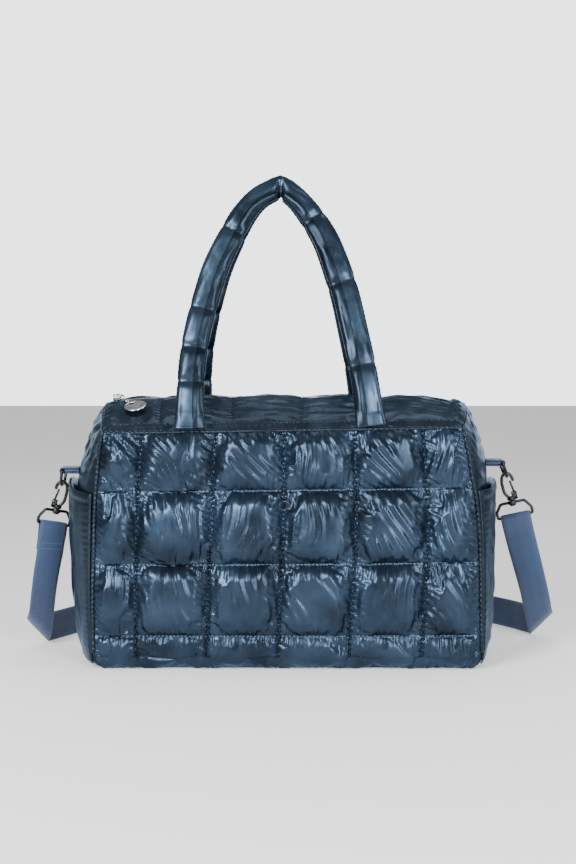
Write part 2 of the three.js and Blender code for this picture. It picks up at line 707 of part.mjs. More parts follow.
// Place and axes of one side's clip: its tab, ring, hook and strap loop hang from the gusset
function clipFrame(row) {
  const name = row.side < 0 ? 'left' : 'right';
  const level = { angle: Math.PI / 2, up: row.up };
  const root = gussetPoint(name, 0, level, 0);
  root.x += row.side * (gussetPad * pillow(row.up) + 2 * gap);
  const tilt = degToRad(clipTilt);
  const up = vec(-row.side * Math.sin(tilt), 0, Math.cos(tilt));
  const out = vec(row.side * Math.cos(tilt), 0, Math.sin(tilt));
  const side = up.clone().cross(out);
  const barRadius = wire / 2;
  const ringBar = root.clone().add(vec(row.side * (tabReach - barRadius - gap - strapThick), 0, 0));
  const lean = degToRad(row.ringLean);
  const hang = vec(row.side * Math.sin(lean), 0, -Math.cos(lean));
  const ringLow = ringBar.clone().addScaledVector(hang, ringDrop);
  const crownInside = hookHeight - hookWire / 2;
  const origin = ringLow.clone().addScaledVector(up, -(crownInside - barRadius - gap));
  const loopTop = origin.clone().addScaledVector(up, -eyeHeight / 2 - gap);
  const turned = out.clone().multiplyScalar(row.side).applyAxisAngle(up, degToRad(row.yaw));
  const bar = loopTop.clone().addScaledVector(up, -loopDrop);
  const axes = { up, out, across: side, barSide: turned, hang };
  return { side: row.side, root, ringBar, origin, loopTop, bar, ...axes };
}
const clips = { left: clipFrame(clipRows.left), right: clipFrame(clipRows.right) };

// Webbing folded round the ring's bar, open at the bag
function tab(clip) {
  const bend = wire / 2 + gap + strapThick / 2;
  const center = tabReach - bend - strapThick / 2;
  const outline = (radius) => {
    const steps = 8;
    return Array.from({ length: steps + 1 }, (_, i) => {
      const angle = -Math.PI / 2 + (i / steps) * Math.PI;
      return [center + radius * Math.cos(angle), radius * Math.sin(angle)];
    });
  };
  const far = outline(bend + strapThick / 2);
  const near = outline(bend - strapThick / 2);
  const shape = new THREE.Shape([
    [0, -bend - strapThick / 2], ...far, [0, bend + strapThick / 2],
    [0, bend - strapThick / 2], ...near.reverse(), [0, -bend + strapThick / 2],
  ].map(([x, y]) => new THREE.Vector2(x, y)));
  const body = new THREE.ExtrudeGeometry(shape, { depth: tabWidth, bevelEnabled: false });
  body.translate(0, 0, -tabWidth / 2);
  return placed(body, clip.root, vec(clip.side, 0, 0), vec(0, 0, 1), vec(0, -clip.side, 0));
}

// Ring: a straight bar through the tab and a round bow that hangs below it
function dRing(clip) {
  const half = (ringWidth - wire) / 2;
  const bow = 12;
  const points = [];
  for (let i = 0; i <= bow; i += 1) {
    const angle = (i / bow) * Math.PI;
    const y = half * Math.sign(Math.cos(angle)) * Math.abs(Math.cos(angle)) ** 0.5;
    points.push(clip.hang.clone().multiplyScalar(ringDrop * Math.sin(angle) ** 0.8).setY(y));
  }
  const placedPoints = points.map((p) => p.add(clip.ringBar));
  return loft(ringAlong(placedPoints, vec(0, 1, 0).cross(clip.hang), wire / 2, 6), true);
}

// Hook in its own axes: x out from the bag, y along the depth, z up its swivel axis
function hook(clip) {
  const curve = new THREE.CatmullRomCurve3(
    hookRows.map((row) => vec(hookWidth * row.out, 0, hookHeight * row.up)), false, 'centripetal');
  const places = Array.from({ length: 15 }, (_, i) => i / 14);
  const rings = places.map((at) => {
    const ahead = curve.getTangentAt(at);
    const out = vec(0, 1, 0).cross(ahead).normalize();
    const radius = (hookWire / 2) * (at > 0.97 ? 0.8 : 1);
    return Array.from({ length: 6 }, (_, j) => {
      const angle = ((j + 0.5) / 6) * 2 * Math.PI;
      return curve.getPointAt(at)
        .addScaledVector(out, radius * Math.cos(angle))
        .addScaledVector(vec(0, 1, 0), radius * Math.sin(angle));
    });
  });
  const bentWire = loft(rings);
  const collar = post(collarSize / 2, 0, collarHeight);
  const stem = post(stemSize / 2, -eyeHeight - 3 * gap, 0.5);
  const head = post(stemHead / 2, -eyeHeight - 2 * gap - 1.6, -eyeHeight - 2 * gap);
  const pivot = vec(hookWidth * gatePivot.out, 0, hookHeight * gatePivot.up);
  const cheek = (y) => {
    const low = collarHeight / 4;
    const high = pivot.z + cheekLength / 2;
    const plate = new THREE.BoxGeometry(cheekLength, cheekThick, high - low);
    return plate.translate(pivot.x - pinSize / 2, y, (low + high) / 2);
  };
  const cheekAt = gateWidth / 2 + gap + cheekThick / 2;
  const pin = post(pinSize / 2, -cheekAt, cheekAt, 8).rotateX(Math.PI / 2).translate(pivot.x, 0, pivot.z);
  const seat = new THREE.BoxGeometry(seatReach, 2 * cheekAt + cheekThick, collarHeight * 0.75);
  seat.translate(seatReach / 2, 0, collarHeight / 2);
  return placed(joined(bentWire, collar, stem, head, seat, cheek(cheekAt), cheek(-cheekAt), pin),
    clip.origin, clip.out, clip.across, clip.up);
}

// Gate: a flat leaf from an eye round the hook's pin to just inside the nose
function gate(clip) {
  const pivot = vec(hookWidth * gatePivot.out, 0, hookHeight * gatePivot.up);
  const tip = vec(hookWidth * gateTip.out, 0, hookHeight * gateTip.up);
  const length = tip.distanceTo(pivot);
  const leaf = new THREE.BoxGeometry(gateThick, gateWidth, length).translate(0, 0, length / 2);
  const eye = post(pinSize / 2 + 1.1, -gateWidth / 2, gateWidth / 2, 12).rotateX(Math.PI / 2);
  const bore = post(pinSize / 2 + gap, -gateWidth, gateWidth, 12).rotateX(Math.PI / 2);
  const body = cut(joined(leaf, eye), bore);
  body.rotateY(Math.atan2(tip.x - pivot.x, tip.z - pivot.z)).translate(pivot.x, 0, pivot.z);
  return placed(body, clip.origin, clip.out, clip.across, clip.up);
}

// Strap loop: an eye round the hook's stem over a wire frame, in axes x along the bar, y forward, z up
function strapLoop(clip) {
  const half = (strapWidth + wire) / 2 + loopSlack;
  const shoulder = loopShoulder;
  const points = [
    [-half, 0, -loopDrop], [half, 0, -loopDrop], [half, 0, -loopDrop * 0.55], [half - shoulder, 0, 0],
    [shoulder, 0, 0], [-shoulder, 0, 0], [shoulder - half, 0, 0], [-half, 0, -loopDrop * 0.55],
  ].map((p) => vec(...p));
  const dense = points.flatMap((p, i) => {
    const before = points[(i + points.length - 1) % points.length];
    const after = points[(i + 1) % points.length];
    const reach = (q) => Math.min(loopRound, p.distanceTo(q) * 0.4);
    const inset = (q) => p.clone().add(q.clone().sub(p).setLength(reach(q)));
    return [inset(before), inset(after)];
  });
  const frame = loft(ringAlong(dense, vec(0, 1, 0), wire / 2, 6), true);
  const eye = post(eyeSize / 2, -eyeHeight / 2, eyeHeight / 2);
  const bore = post(stemSize / 2 + gap, -eyeHeight, eyeHeight);
  const forward = clip.up.clone().cross(clip.barSide);
  return placed(cut(joined(frame, eye), bore), clip.loopTop, clip.barSide, forward, clip.up);
}

// The strap's run on the floor, on its edge, and its two hanging ends, each folded up from the floor
const floorMiddle = floorGap + strapWidth / 2;
function strapEnd(clip, row) {
  const turn = degToRad(row.heading);
  const start = vec(halfWidth * row.foldX, halfWidth * row.foldY, floorMiddle);
  const run = vec(row.side * Math.cos(turn), -Math.sin(turn), 0);
  const rise = clip.bar.clone().sub(start).normalize();
  const skew = Math.atan2(rise.z, 1 - rise.dot(run));
  const s = Math.sin(skew);
  const c = Math.cos(skew);
  const angle = Math.acos(clamp((rise.dot(run) - s * s) / (c * c), -1, 1));
  let face = vec(run.y, -run.x, 0);
  if (face.dot(rise) < 0) face = face.negate();
  const axis = vec(0, 0, c).addScaledVector(run, s);
  const ahead = run.clone().multiplyScalar(c).add(vec(0, 0, -s));
  return { clip, row, start, run, face, axis, ahead, skew, angle };
}

// Point and normal of a strap end's middle surface: a = past the fold's start line, b = across the webbing
function foldPoint(end, a, b) {
  const m = a * Math.cos(end.skew) - b * Math.sin(end.skew);
  const l = a * Math.sin(end.skew) + b * Math.cos(end.skew);
  const bend = clamp(m / foldRadius, 0, end.angle);
  const past = m - bend * foldRadius;
  const point = end.start.clone()
    .addScaledVector(end.axis, l)
    .addScaledVector(end.ahead, foldRadius * Math.sin(bend) + past * Math.cos(bend))
    .addScaledVector(end.face, foldRadius * (1 - Math.cos(bend)) + past * Math.sin(bend));
  const normal = end.face.clone().multiplyScalar(Math.cos(bend))
    .addScaledVector(end.ahead, -Math.sin(bend));
  return { point, normal };
}

// The hanging stretch is turned gently so that it ends square on its loop's bar
function hangPoint(end, a, b, length) {
  const straight = (foldRadius * end.angle) / Math.cos(end.skew) + hangEase;
  const t = smoothstep(a, straight, length);
  const here = foldPoint(end, a, b);
  if (t === 0) return here;
  const middle = foldPoint(end, a, 0);
  const last = foldPoint(end, length, 0);
  const shift = end.clip.bar.clone().sub(last.point).multiplyScalar(t);
  const across = foldPoint(end, length, 1).point.sub(last.point).normalize();
  const barSide = end.clip.barSide.clone();
  if (barSide.dot(across) < 0) barSide.negate();
  const turned = across.lerp(barSide, t).normalize();
  const ahead = foldPoint(end, a + 1, 0).point.sub(middle.point);
  const normal = turned.clone().cross(ahead).normalize();
  if (normal.dot(here.normal) < 0) normal.negate();
  return { point: middle.point.clone().add(shift).addScaledVector(turned, b), normal };
}

const ends = {
  left: strapEnd(clips.left, clipRows.left),
  right: strapEnd(clips.right, clipRows.right),
};
const hangLength = (end) => {
  const bendLength = (foldRadius * end.angle) / Math.cos(end.skew);
  return bendLength + end.clip.bar.distanceTo(foldPoint(end, bendLength, 0).point);
};

// Stations of one strap end, from its loop down to the straight floor run. The cross lines lean over to lie
// along the fold's axis inside it.
function endStations(end) {
  const length = hangLength(end);
  const bendLength = (foldRadius * end.angle) / Math.cos(end.skew);
  const lean = Math.tan(end.skew);
  const stretch = (from, to, steps, first, leanAt) => Array.from({ length: steps + 1 - first }, (_, i) => {
    const share = (i + first) / steps;
    return { a: lerp(from, to, share), lean: lean * leanAt(share) };
  });
  const stations = [
    ...stretch(length, bendLength + foldEase, 7, 0, () => 0),
    ...stretch(bendLength + foldEase, bendLength, 3, 1, (share) => share).slice(0, -1),
    ...stretch(bendLength, 0, 7, 0, () => 1),
    ...stretch(0, -foldEase, 2, 1, (share) => 1 - share),
  ];
  return stations.map(({ a, lean: tan }) => ({
    at: length - a,
    edge: (b) => hangPoint(end, a + b * tan, b, length),
  }));
}

// Middle line of the floor run between the two ends, where the webbing stands on its edge
function floorCurve() {
  const backs = [floorLead, floorLead + floorSettle];
  const lead = (end) => backs.map((back) => end.start.clone().addScaledVector(end.run, -back));
  const plan = floorRun.map((row) => vec(halfWidth * row.x, halfWidth * row.y, floorMiddle));
  const points = [...lead(ends.left), ...plan, ...lead(ends.right).reverse()];
  const curve = new THREE.CatmullRomCurve3(points, false, 'centripetal');
  return { curve, length: curve.getLength() };
}

// Offsets of the two layers from the middle surface: apart at the loops' bars, close together elsewhere
const barOffset = wire / 2 + gap + strapThick / 2;
const closeOffset = strapThick / 2 + gap;
const layerOffset = (distance, close) => (
  lerp(barOffset, close, smoothstep(distance, layerNear, layerFar))
);

// Cross section of one layer, whose outer face looks along the normal for outer = 1 and against it for -1
function crossSection(edge, offset, outer) {
  const half = strapWidth / 2;
  const corner = (b, side) => {
    const { point, normal } = edge(b);
    return point.clone().addScaledVector(normal, offset + (outer * side * strapThick) / 2);
  };
  return [corner(-half, 1), corner(half, 1), corner(half, -1), corner(-half, -1)];
}

// Half turn of the webbing round a loop's bar, from the front layer to the back one
function barTurn(end) {
  const length = hangLength(end);
  const { normal } = hangPoint(end, length, 0, length);
  const before = hangPoint(end, length - 1, 0, length).point;
  const ahead = end.clip.bar.clone().sub(before).normalize();
  const steps = 5;
  return Array.from({ length: steps - 1 }, (_, i) => {
    const angle = ((i + 1) / steps) * Math.PI;
    const side = normal.clone().multiplyScalar(-Math.cos(angle)).addScaledVector(ahead, Math.sin(angle));
    return crossSection((b) => ({
      point: hangPoint(end, length, b, length).point.addScaledVector(side, barOffset),
      normal: side.clone(),
    }), 0, 1);
  });
}

// Far and near layers of the doubled strap round its slider: "along" in shares of sliderBarPitch and "offset"
// in shares of strapThick
const sliderLift = sliderRail + gap;
const sliderRows = {
  far: [
    { along: -2.31, offset: -0.625 },
    { along: -1.38, offset: 1.19 },
    { along: -0.83, offset: 1.31 },
    { along: -0.35, offset: -2.56 },
    { along: 0.35, offset: -2.56 },
    { along: 0.83, offset: 1.31 },
    { along: 1.38, offset: 1.31 },
    { along: 2.62, offset: -0.625 },
  ],
  near: [
    { along: 0, offset: 1.31 },
    { along: 0.46, offset: 1.50 },
    { along: 0.80, offset: 2.63 },
    { along: 1.38, offset: 2.63 },
    { along: 2.77, offset: 0.625 },
  ],
};
function rowOffset(rows, at, outside) {
  const along = at / sliderBarPitch;
  if (along < rows[0].along || along >= rows[rows.length - 1].along) return outside;
  const i = Math.max(1, rows.findIndex((row) => row.along >= along));
  const share = (along - rows[i - 1].along) / (rows[i].along - rows[i - 1].along);
  return strapThick * lerp(rows[i - 1].offset, rows[i].offset, share);
}

function shoulderStrap() {
  const left = endStations(ends.left);
  const right = endStations(ends.right);
  const floor = floorCurve();
  const buckleAt = sliderShare * floor.length;
  const near = [...sliderRows.far, ...sliderRows.near].map((row) => row.along * sliderBarPitch);
  const wide = Array.from({ length: 24 }, (_, i) => ((i + 1) / 25) * floor.length - buckleAt);
  const clear = wide.filter((place) => Math.abs(place) > 3 * sliderBarPitch);
  const places = [...new Set([...clear, ...near])].sort((a, b) => a - b);
  const bagSide = places.map((place) => {
    const share = (buckleAt + place) / floor.length;
    const ahead = floor.curve.getTangentAt(share);
    const lift = sliderLift * (1 - smoothstep(Math.abs(place), 1.4 * sliderBarPitch, 5 * sliderBarPitch));
    const middle = floor.curve.getPointAt(share).add(vec(0, 0, lift));
    const normal = vec(ahead.y, -ahead.x, 0).normalize();
    return { at: buckleAt + place, edge: (b) => ({ point: middle.clone().add(vec(0, 0, b)), normal }) };
  });
  const rings = [];
  const lay = (station, offset, outer) => rings.push(crossSection(station.edge, offset, outer));
  left.filter((s) => s.at <= sewnBack).reverse().forEach((s) => lay(s, layerOffset(s.at, closeOffset), 1));
  barTurn(ends.left).reverse().forEach((ring) => rings.push(ring));
  left.forEach((s) => {
    const sewn = lerp(-closeOffset, 0, smoothstep(s.at, sewnBack, sewnBack + layerFar));
    lay(s, s.at > sewnBack ? sewn : -layerOffset(s.at, closeOffset), -1);
  });
  const doubling = (at) => -closeOffset * smoothstep(buckleAt - at, 7 * sliderBarPitch, 2.3 * sliderBarPitch);
  bagSide.forEach((s) => lay(s, rowOffset(sliderRows.far, s.at - buckleAt, doubling(s.at)), -1));
  right.slice().reverse().forEach((s) => lay(s, -layerOffset(s.at, closeOffset), -1));
  barTurn(ends.right).forEach((ring) => rings.push(ring));
  right.forEach((s) => lay(s, layerOffset(s.at, closeOffset), 1));
  bagSide.slice().reverse().filter((s) => s.at >= buckleAt - 1e-6)
    .forEach((s) => lay(s, rowOffset(sliderRows.near, s.at - buckleAt, closeOffset), 1));
  return loft(rings);
}

function strapSlider() {
  const floor = floorCurve();
  const center = floor.curve.getPointAt(sliderShare).add(vec(0, 0, sliderLift));
  const ahead = floor.curve.getTangentAt(sliderShare);
  const slotHeight = strapWidth + 2 * gap;
  const body = new THREE.BoxGeometry(2 * sliderBarPitch + 3, sliderBar, slotHeight + 2 * sliderRail);
  const slot = (x) => new THREE.BoxGeometry(sliderBarPitch - 3, 3 * sliderBar, slotHeight).translate(x, 0, 0);
  const frame = cut(body, slot(-sliderBarPitch / 2), slot(sliderBarPitch / 2));
  return placed(frame, center, ahead, vec(-ahead.y, ahead.x, 0), vec(0, 0, 1));
}

// Finishes of the pieces
const finishes = {
  nylon: { color: '#3a4f66', roughness: 0.32, metalness: 0.45 },
  webbing: { color: '#2b4468', roughness: 0.85, metalness: 0 },
  zipTape: { color: '#2a3646', roughness: 0.8, metalness: 0 },
  silver: { color: '#c9ccd0', roughness: 0.2, metalness: 1 },
  black: { color: '#15161a', roughness: 0.35, metalness: 0.6 },
};

const pieces = {
  front_panel: ['nylon', quiltedWall('front')],
  back_panel: ['nylon', quiltedWall('back')],
  gusset_left: ['nylon', gusset('left')],
  gusset_right: ['nylon', gusset('right')],
  base_panel: ['nylon', basePanel()],
  top_panel_front: ['nylon', topPanel('front')],
  top_panel_rear: ['nylon', topPanel('rear')],
  pocket_left: ['nylon', pocket('left')],
  pocket_right: ['nylon', pocket('right')],
  handle_front: ['nylon', handle('front')],
  handle_rear: ['nylon', handle('rear')],
  zip_tape: ['zipTape', zip()],
  zip_slider: ['silver', zipSlider()],
  pull_disc: ['silver', pullDisc()],
  shoulder_strap: ['webbing', shoulderStrap()],
  strap_slider: ['black', strapSlider()],
};
Object.entries(chainPieces()).forEach(([name, geometry]) => {
  pieces[name] = ['silver', geometry];
});
Object.entries(clips).forEach(([name, clip]) => {
  pieces[`tab_${name}`] = ['webbing', tab(clip)];
  pieces[`d_ring_${name}`] = ['black', dRing(clip)];
  pieces[`hook_${name}`] = ['black', hook(clip)];
  pieces[`gate_${name}`] = ['black', gate(clip)];
  pieces[`strap_loop_${name}`] = ['black', strapLoop(clip)];
});

const group = new THREE.Group();
Object.entries(pieces).forEach(([name, [finish, geometry]]) => {
  const mesh = new THREE.Mesh(geometry, new THREE.MeshStandardMaterial(finishes[finish]));
  mesh.name = name;
  group.add(mesh);
});

export default group;
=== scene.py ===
# Looks of the quilted puffer tote bag. Shapes are worked out in millimetres and written in metres.
import math

import bpy
import numpy as np
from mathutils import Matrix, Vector


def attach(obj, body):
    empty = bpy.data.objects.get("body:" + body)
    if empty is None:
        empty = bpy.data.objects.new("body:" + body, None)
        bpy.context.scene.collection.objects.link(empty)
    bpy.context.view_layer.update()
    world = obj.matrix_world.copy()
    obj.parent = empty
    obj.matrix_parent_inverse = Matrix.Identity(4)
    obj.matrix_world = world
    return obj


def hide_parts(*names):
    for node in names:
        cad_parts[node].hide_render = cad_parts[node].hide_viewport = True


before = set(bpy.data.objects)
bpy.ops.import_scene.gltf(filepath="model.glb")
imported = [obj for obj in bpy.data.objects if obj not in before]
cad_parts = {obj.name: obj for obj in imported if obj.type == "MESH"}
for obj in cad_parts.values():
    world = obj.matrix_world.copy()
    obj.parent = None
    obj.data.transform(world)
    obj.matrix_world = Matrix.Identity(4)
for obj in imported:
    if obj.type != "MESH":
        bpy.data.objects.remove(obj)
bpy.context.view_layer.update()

# Named sizes of the part, in millimetres
BAG_WIDTH = 391
BASE_DEPTH = 180
TOP_DEPTH = 154
TOP_SEAM_LEFT = 241
TOP_SEAM_RIGHT = 247
RIDGE_HEIGHT = 274
RIDGE_FALL = 6
EDGE_ROUND = 13
WALL = 2.4
GAP = 0.3
FRONT_BELLY = 8
QUILT_PUFF = 11
SIDE_BULGE = 29
GUSSET_PAD = 1.2
ROOF_PAD = 3.5
WELT_HEIGHT = 5
ZIP_WIDTH = 13
TAPE_THICK = 1.2
TEETH_WIDTH = 5
TEETH_HEIGHT = 1.6
SLIDER_LENGTH = 9
SLIDER_WIDTH = 5.6
SLIDER_HEIGHT = 2.8
SLIDER_INSET = 9
PULL_WIRE = 1.3
PULL_RING = 9
LINK_COUNT = 3
LINK_WIDTH = 5.6
DISC_SIZE = 23
DISC_THICK = 1.8
DISC_HOLE = 5.4
DISC_LEAN = 6
DISC_CLEAR = 4.5
DISC_PLACE = (-158, -34)
BRIDGE_BAR = 1.4
BRIDGE_LIFT = 4
BRIDGE_WIDTH = 2
HANDLE_RISE = 252
HANDLE_SPREAD = 92
HANDLE_WIDTH = 28
HANDLE_THICK = 13
HANDLE_SEAT = 3.6
HANDLE_LEAN = 69
POCKET_THICK = 3.6
POCKET_GAPE = 6
POCKET_DIP = 9
POCKET_REACH = 0.965
POCKET_MOUTH = 0.72
STRAP_WIDTH = 32
STRAP_THICK = 1.6
FOLD_RADIUS = 9
SEWN_BACK = 30
FLOOR_GAP = 0.5
FOLD_EASE = 30
HANG_EASE = 22
FLOOR_LEAD = (30, 42)
LAYER_EASE = (3, 22)
TAB_WIDTH = 25
TAB_REACH = 21
WIRE = 3.2
RING_WIDTH = 33
RING_DROP = 16
HOOK_WIDTH = 14
HOOK_HEIGHT = 30
HOOK_WIRE = 3.4
COLLAR_SIZE = 9
COLLAR_HEIGHT = 4
STEM_SIZE = 4
STEM_HEAD = 6.6
EYE_SIZE = 10
EYE_HEIGHT = 4
PIN_SIZE = 1.6
GATE_THICK = 2.2
GATE_WIDTH = 4
CHEEK_LENGTH = 5.4
CHEEK_THICK = 1.1
SEAT_REACH = 6
LOOP_DROP = 15
LOOP_SLACK = 1.2
LOOP_SHOULDER = 6
LOOP_ROUND = 1.8
CLIP_TILT = 14
SLIDER_PITCH = 13
SLIDER_BAR = 2
SLIDER_RAIL = 2.2
SLIDER_SHARE = 0.56

HALF_WIDTH = BAG_WIDTH / 2
HALF_ZIP = ZIP_WIDTH / 2
FLAT_SHARE = HALF_ZIP / (TOP_DEPTH / 2)

# Seams of the front panel and bulge of the gussets by share of the height
SIDE_KEYS = ("up", "leftSeam", "rightSeam", "leftBulge", "rightBulge")
SIDE_ROWS = [dict(zip(SIDE_KEYS, row)) for row in (
    (0.00, 1.000, 1.000, 0.72, 0.42),
    (0.25, 1.004, 0.997, 0.84, 0.52),
    (0.50, 0.998, 0.990, 0.90, 0.54),
    (0.68, 0.992, 0.972, 0.94, 0.66),
    (0.78, 0.985, 0.949, 0.82, 0.76),
    (0.88, 0.973, 0.931, 0.62, 0.66),
    (0.94, 0.964, 0.916, 0.48, 0.54),
    (1.00, 0.954, 0.900, 0.22, 0.40),
)]
# Upright quilt seams at the base and at the top, and the level ones with their rows' puff
QUILT_COLUMNS = ((0, 0), (0.109, 0.111), (0.290, 0.315), (0.473, 0.506), (0.656, 0.700), (0.844, 0.888),
                 (1, 1))
QUILT_ROWS = ((0, 0.45), (0.097, 0.95), (0.413, 1.0), (0.734, 0.9), (1, 0))
ROOF_SEAMS = (0, 0.155, 0.352, 0.555, 0.757, 0.963, 1)
WELT_LINE = 0.93
HANDLE_KEYS = ("rise", "left", "right", "width", "thick")
HANDLE_ROWS = [dict(zip(HANDLE_KEYS, row)) for row in (
    (0.00, -1.074, 0.920, 1.10, 0.36),
    (0.13, -1.074, 0.875, 1.00, 0.95),
    (0.27, -1.054, 0.815, 0.98, 1.00),
    (0.40, -1.000, 0.739, 0.98, 1.00),
    (0.53, -0.913, 0.660, 0.98, 1.00),
    (0.66, -0.804, 0.551, 0.98, 1.00),
    (0.78, -0.652, 0.421, 0.94, 1.00),
    (0.88, -0.500, 0.250, 0.88, 1.00),
    (0.95, -0.330, 0.090, 0.82, 1.00),
    (1.00, -0.078, -0.078, 0.80, 1.00),
)]
HANDLE_SEAMS = {"left": (0.05, 0.17, 0.295, 0.44, 0.75, 1), "right": (0.05, 0.23, 0.55, 0.82, 1)}
HOOK_ROWS = ((0, 0.06), (-0.20, 0.14), (-0.40, 0.30), (-0.44, 0.52), (-0.42, 0.74), (-0.27, 0.92), (0, 1.0),
             (0.27, 0.93), (0.41, 0.79), (0.43, 0.66))
GATE_PIVOT = (0.34, 0.205)
GATE_TIP = (0.17, 0.70)
CLIP_ROWS = {
    "left": {"side": -1, "up": 0.717, "lean": 6, "yaw": 36, "foldX": -1.385, "foldY": 0.195, "heading": 61},
    "right": {"side": 1, "up": 0.749, "lean": 20, "yaw": -14, "foldX": 1.44, "foldY": 0.43, "heading": 62},
}
FLOOR_RUN = ((-1.145, 0.60), (-0.98, 0.685), (-0.55, 0.665), (0, 0.655), (0.55, 0.68), (0.98, 0.80),
             (1.16, 0.83))
FAR_ROWS = ((-2.31, -0.625), (-1.38, 1.19), (-0.83, 1.31), (-0.35, -2.56), (0.35, -2.56), (0.83, 1.31),
            (1.38, 1.31), (2.62, -0.625))
NEAR_ROWS = ((0, 1.31), (0.46, 1.50), (0.80, 2.63), (1.38, 2.63), (2.77, 0.625))
SIDES = {"left": -1, "right": 1}
FACINGS = (("front", 1.0), ("back", -1.0))

# Steps of the fine grids, and the slopes' width that their steps are counted on
QUILT_STEP = 1.8
ROOF_STEP = 1.9
ROOF_WIDTH = 380
# Spacing of the quilting's folds and their strength in each row of cells
FOLD_PITCH = 10
ROW_FOLDS = (0.35, 0.8, 1.0, 1.25, 0)
# Cloth run: frames, furthest move in millimetres and settings
CLOTH_FRAMES = 18
CLOTH_REACH = 5
CLOTH = {
    "quality": 5, "mass": 0.02, "tension_stiffness": 18, "compression_stiffness": 18, "shear_stiffness": 6,
    "bending_stiffness": 0.1, "tension_damping": 8, "compression_damping": 8, "bending_damping": 0.6,
    "air_damping": 4, "use_pressure": True, "uniform_pressure_force": 2.0, "shrink_min": -0.09,
}
# Points across and up of the side panels, and stations and corners of a handle's leg
GUSSET_GRID = (76, 104)
POCKET_GRID = (72, 80)
HANDLE_GRID = (170, 28)
# Mean width of a quilted cell, as a share of the bag's
CELL_SHARE = 0.18
# Where the welt's groove is sewn, as a share of the half depth out from the middle
GROOVE_LINE = 0.845
TEETH_PITCH = 2.6
# Spacing along their seams of the stitches and knots, and the knots' distance from the seam
KNOT_PITCH = 4.3
KNOT_OFFSET = 1.5
STITCH_PITCH = 3.9
SLOPE_STITCH_PITCH = 3.4
EDGE_BEAD_PITCH = 3.0
STRAP_STITCH_PITCH = 2.6
# Length, width, height and lift of the small bumps that stand for stitches and knots
KNOT_SIZE = (4.6, 2.9, 2.6, 0.6)
STITCH_SIZE = (2.7, 0.75, 0.7, 0.75)
SLOPE_STITCH_SIZE = (2.4, 0.7, 0.7, 0.3)
EDGE_BEAD_SIZE = (3.0, 1.1, 0.9, 0.2)
STRAP_STITCH_SIZE = (2.0, 0.7, 0.6, 0.1)


# Number helpers

def table_value(rows, key, name, at):
    """Smooth value of one column of a table at places between its rows."""
    keys = np.array([row[key] for row in rows], float)
    values = np.array([row[name] for row in rows], float)
    at = np.asarray(at, float)
    last = len(rows) - 1
    low = np.maximum(np.arange(last + 1) - 1, 0)
    high = np.minimum(np.arange(last + 1) + 1, last)
    slopes = (values[high] - values[low]) / (keys[high] - keys[low])
    i = np.clip(np.searchsorted(keys, at, side="left") - 1, 0, last - 1)
    span = keys[i + 1] - keys[i]
    t = np.clip((at - keys[i]) / span, 0, 1)
    blend = t * t * (3 - 2 * t)
    rise = t * (1 - t) * ((1 - t) * slopes[i] - t * slopes[i + 1]) * span
    return values[i] + (values[i + 1] - values[i]) * blend + rise


def lerp(a, b, t):
    return a + (b - a) * t


def smoothstep(x, low, high):
    t = np.clip((x - low) / (high - low), 0, 1)
    return t * t * (3 - 2 * t)


def unit(v):
    v = np.asarray(v, float)
    return v / np.linalg.norm(v, axis=-1, keepdims=True)


def stack(x, y, z):
    return np.stack(np.broadcast_arrays(x, y, z), axis=-1).astype(float)


def waves(u, v, seed, length, stretch=1.0, angle=None, spread=0.5, count=7):
    """Smooth seeded noise whose crests lie square to "angle" and are "stretch" times their spacing."""
    draw = np.random.default_rng(seed)
    total = 0
    for _ in range(count):
        turn = draw.uniform(0, math.pi) if angle is None else angle + draw.uniform(-spread, spread)
        pitch = length * draw.uniform(0.75, 1.5)
        across = (u * math.cos(turn) + v * math.sin(turn)) / pitch
        along = (v * math.cos(turn) - u * math.sin(turn)) / (pitch * stretch)
        bend = 0.8 * np.sin(2 * math.pi * along + draw.uniform(0, 6.3))
        total = total + np.sin(2 * math.pi * across + bend + draw.uniform(0, 6.3)) * np.cos(
            math.pi * along + draw.uniform(0, 6.3))
    return total / math.sqrt(count)


def gathers(s, seed, pitch):
    """Irregular row of small pleats along a seam, from -1 to 1."""
    draw = np.random.default_rng(seed)
    drift = sum(draw.uniform(0.5, 1) * np.sin(s / (pitch * k) + draw.uniform(0, 6.3))
                for k in (1.7, 3.1, 5.3))
    height = 0.65 + 0.35 * np.sin(s / (pitch * 2.3) + draw.uniform(0, 6.3))
    return np.sin(2 * math.pi * s / pitch + 1.2 * drift) * height


def creases(u, v, seed, pitch, lean):
    """Sharp-edged folds about "pitch" apart that lean from the upright and come and go, from -0.4 to 0.6."""
    draw = np.random.default_rng(seed)
    phase = (u + v * math.tan(lean)) / pitch + 0.6 * waves(u, v, seed + 1, pitch * 7, 2) + draw.uniform(0, 1)
    fold = (1 - np.abs(2 * (phase % 1) - 1)) ** 1.4 - 0.4
    return fold * smoothstep(waves(u, v, seed + 2, pitch * 4, 2), -0.45, 0.45)


def pillow(t):
    return (1 - np.abs(2 * np.clip(t, 0, 1) - 1) ** 2.1) ** 0.75


def arch(across):
    return (1 - np.minimum(np.abs(across), 1) ** 2.2) ** 0.85


# Surfaces of the bag, as in the part's source

def seam_x(name, up):
    return HALF_WIDTH * table_value(SIDE_ROWS, "up", name + "Seam", up)


def bulge_x(name, up):
    return SIDE_BULGE * table_value(SIDE_ROWS, "up", name + "Bulge", up)


def half_depth(up):
    return lerp(BASE_DEPTH, TOP_DEPTH, up) / 2


def top_seam(across):
    return lerp(TOP_SEAM_LEFT, TOP_SEAM_RIGHT, across)


def ridge(across):
    return RIDGE_HEIGHT - RIDGE_FALL * np.abs(2 * across - 1) ** 6


def roof_height(across, back):
    climb = np.clip((1 - back) / (1 - FLAT_SHARE), 0, 1)
    return lerp(top_seam(across), ridge(across), 1 - (1 - climb) ** 1.15)


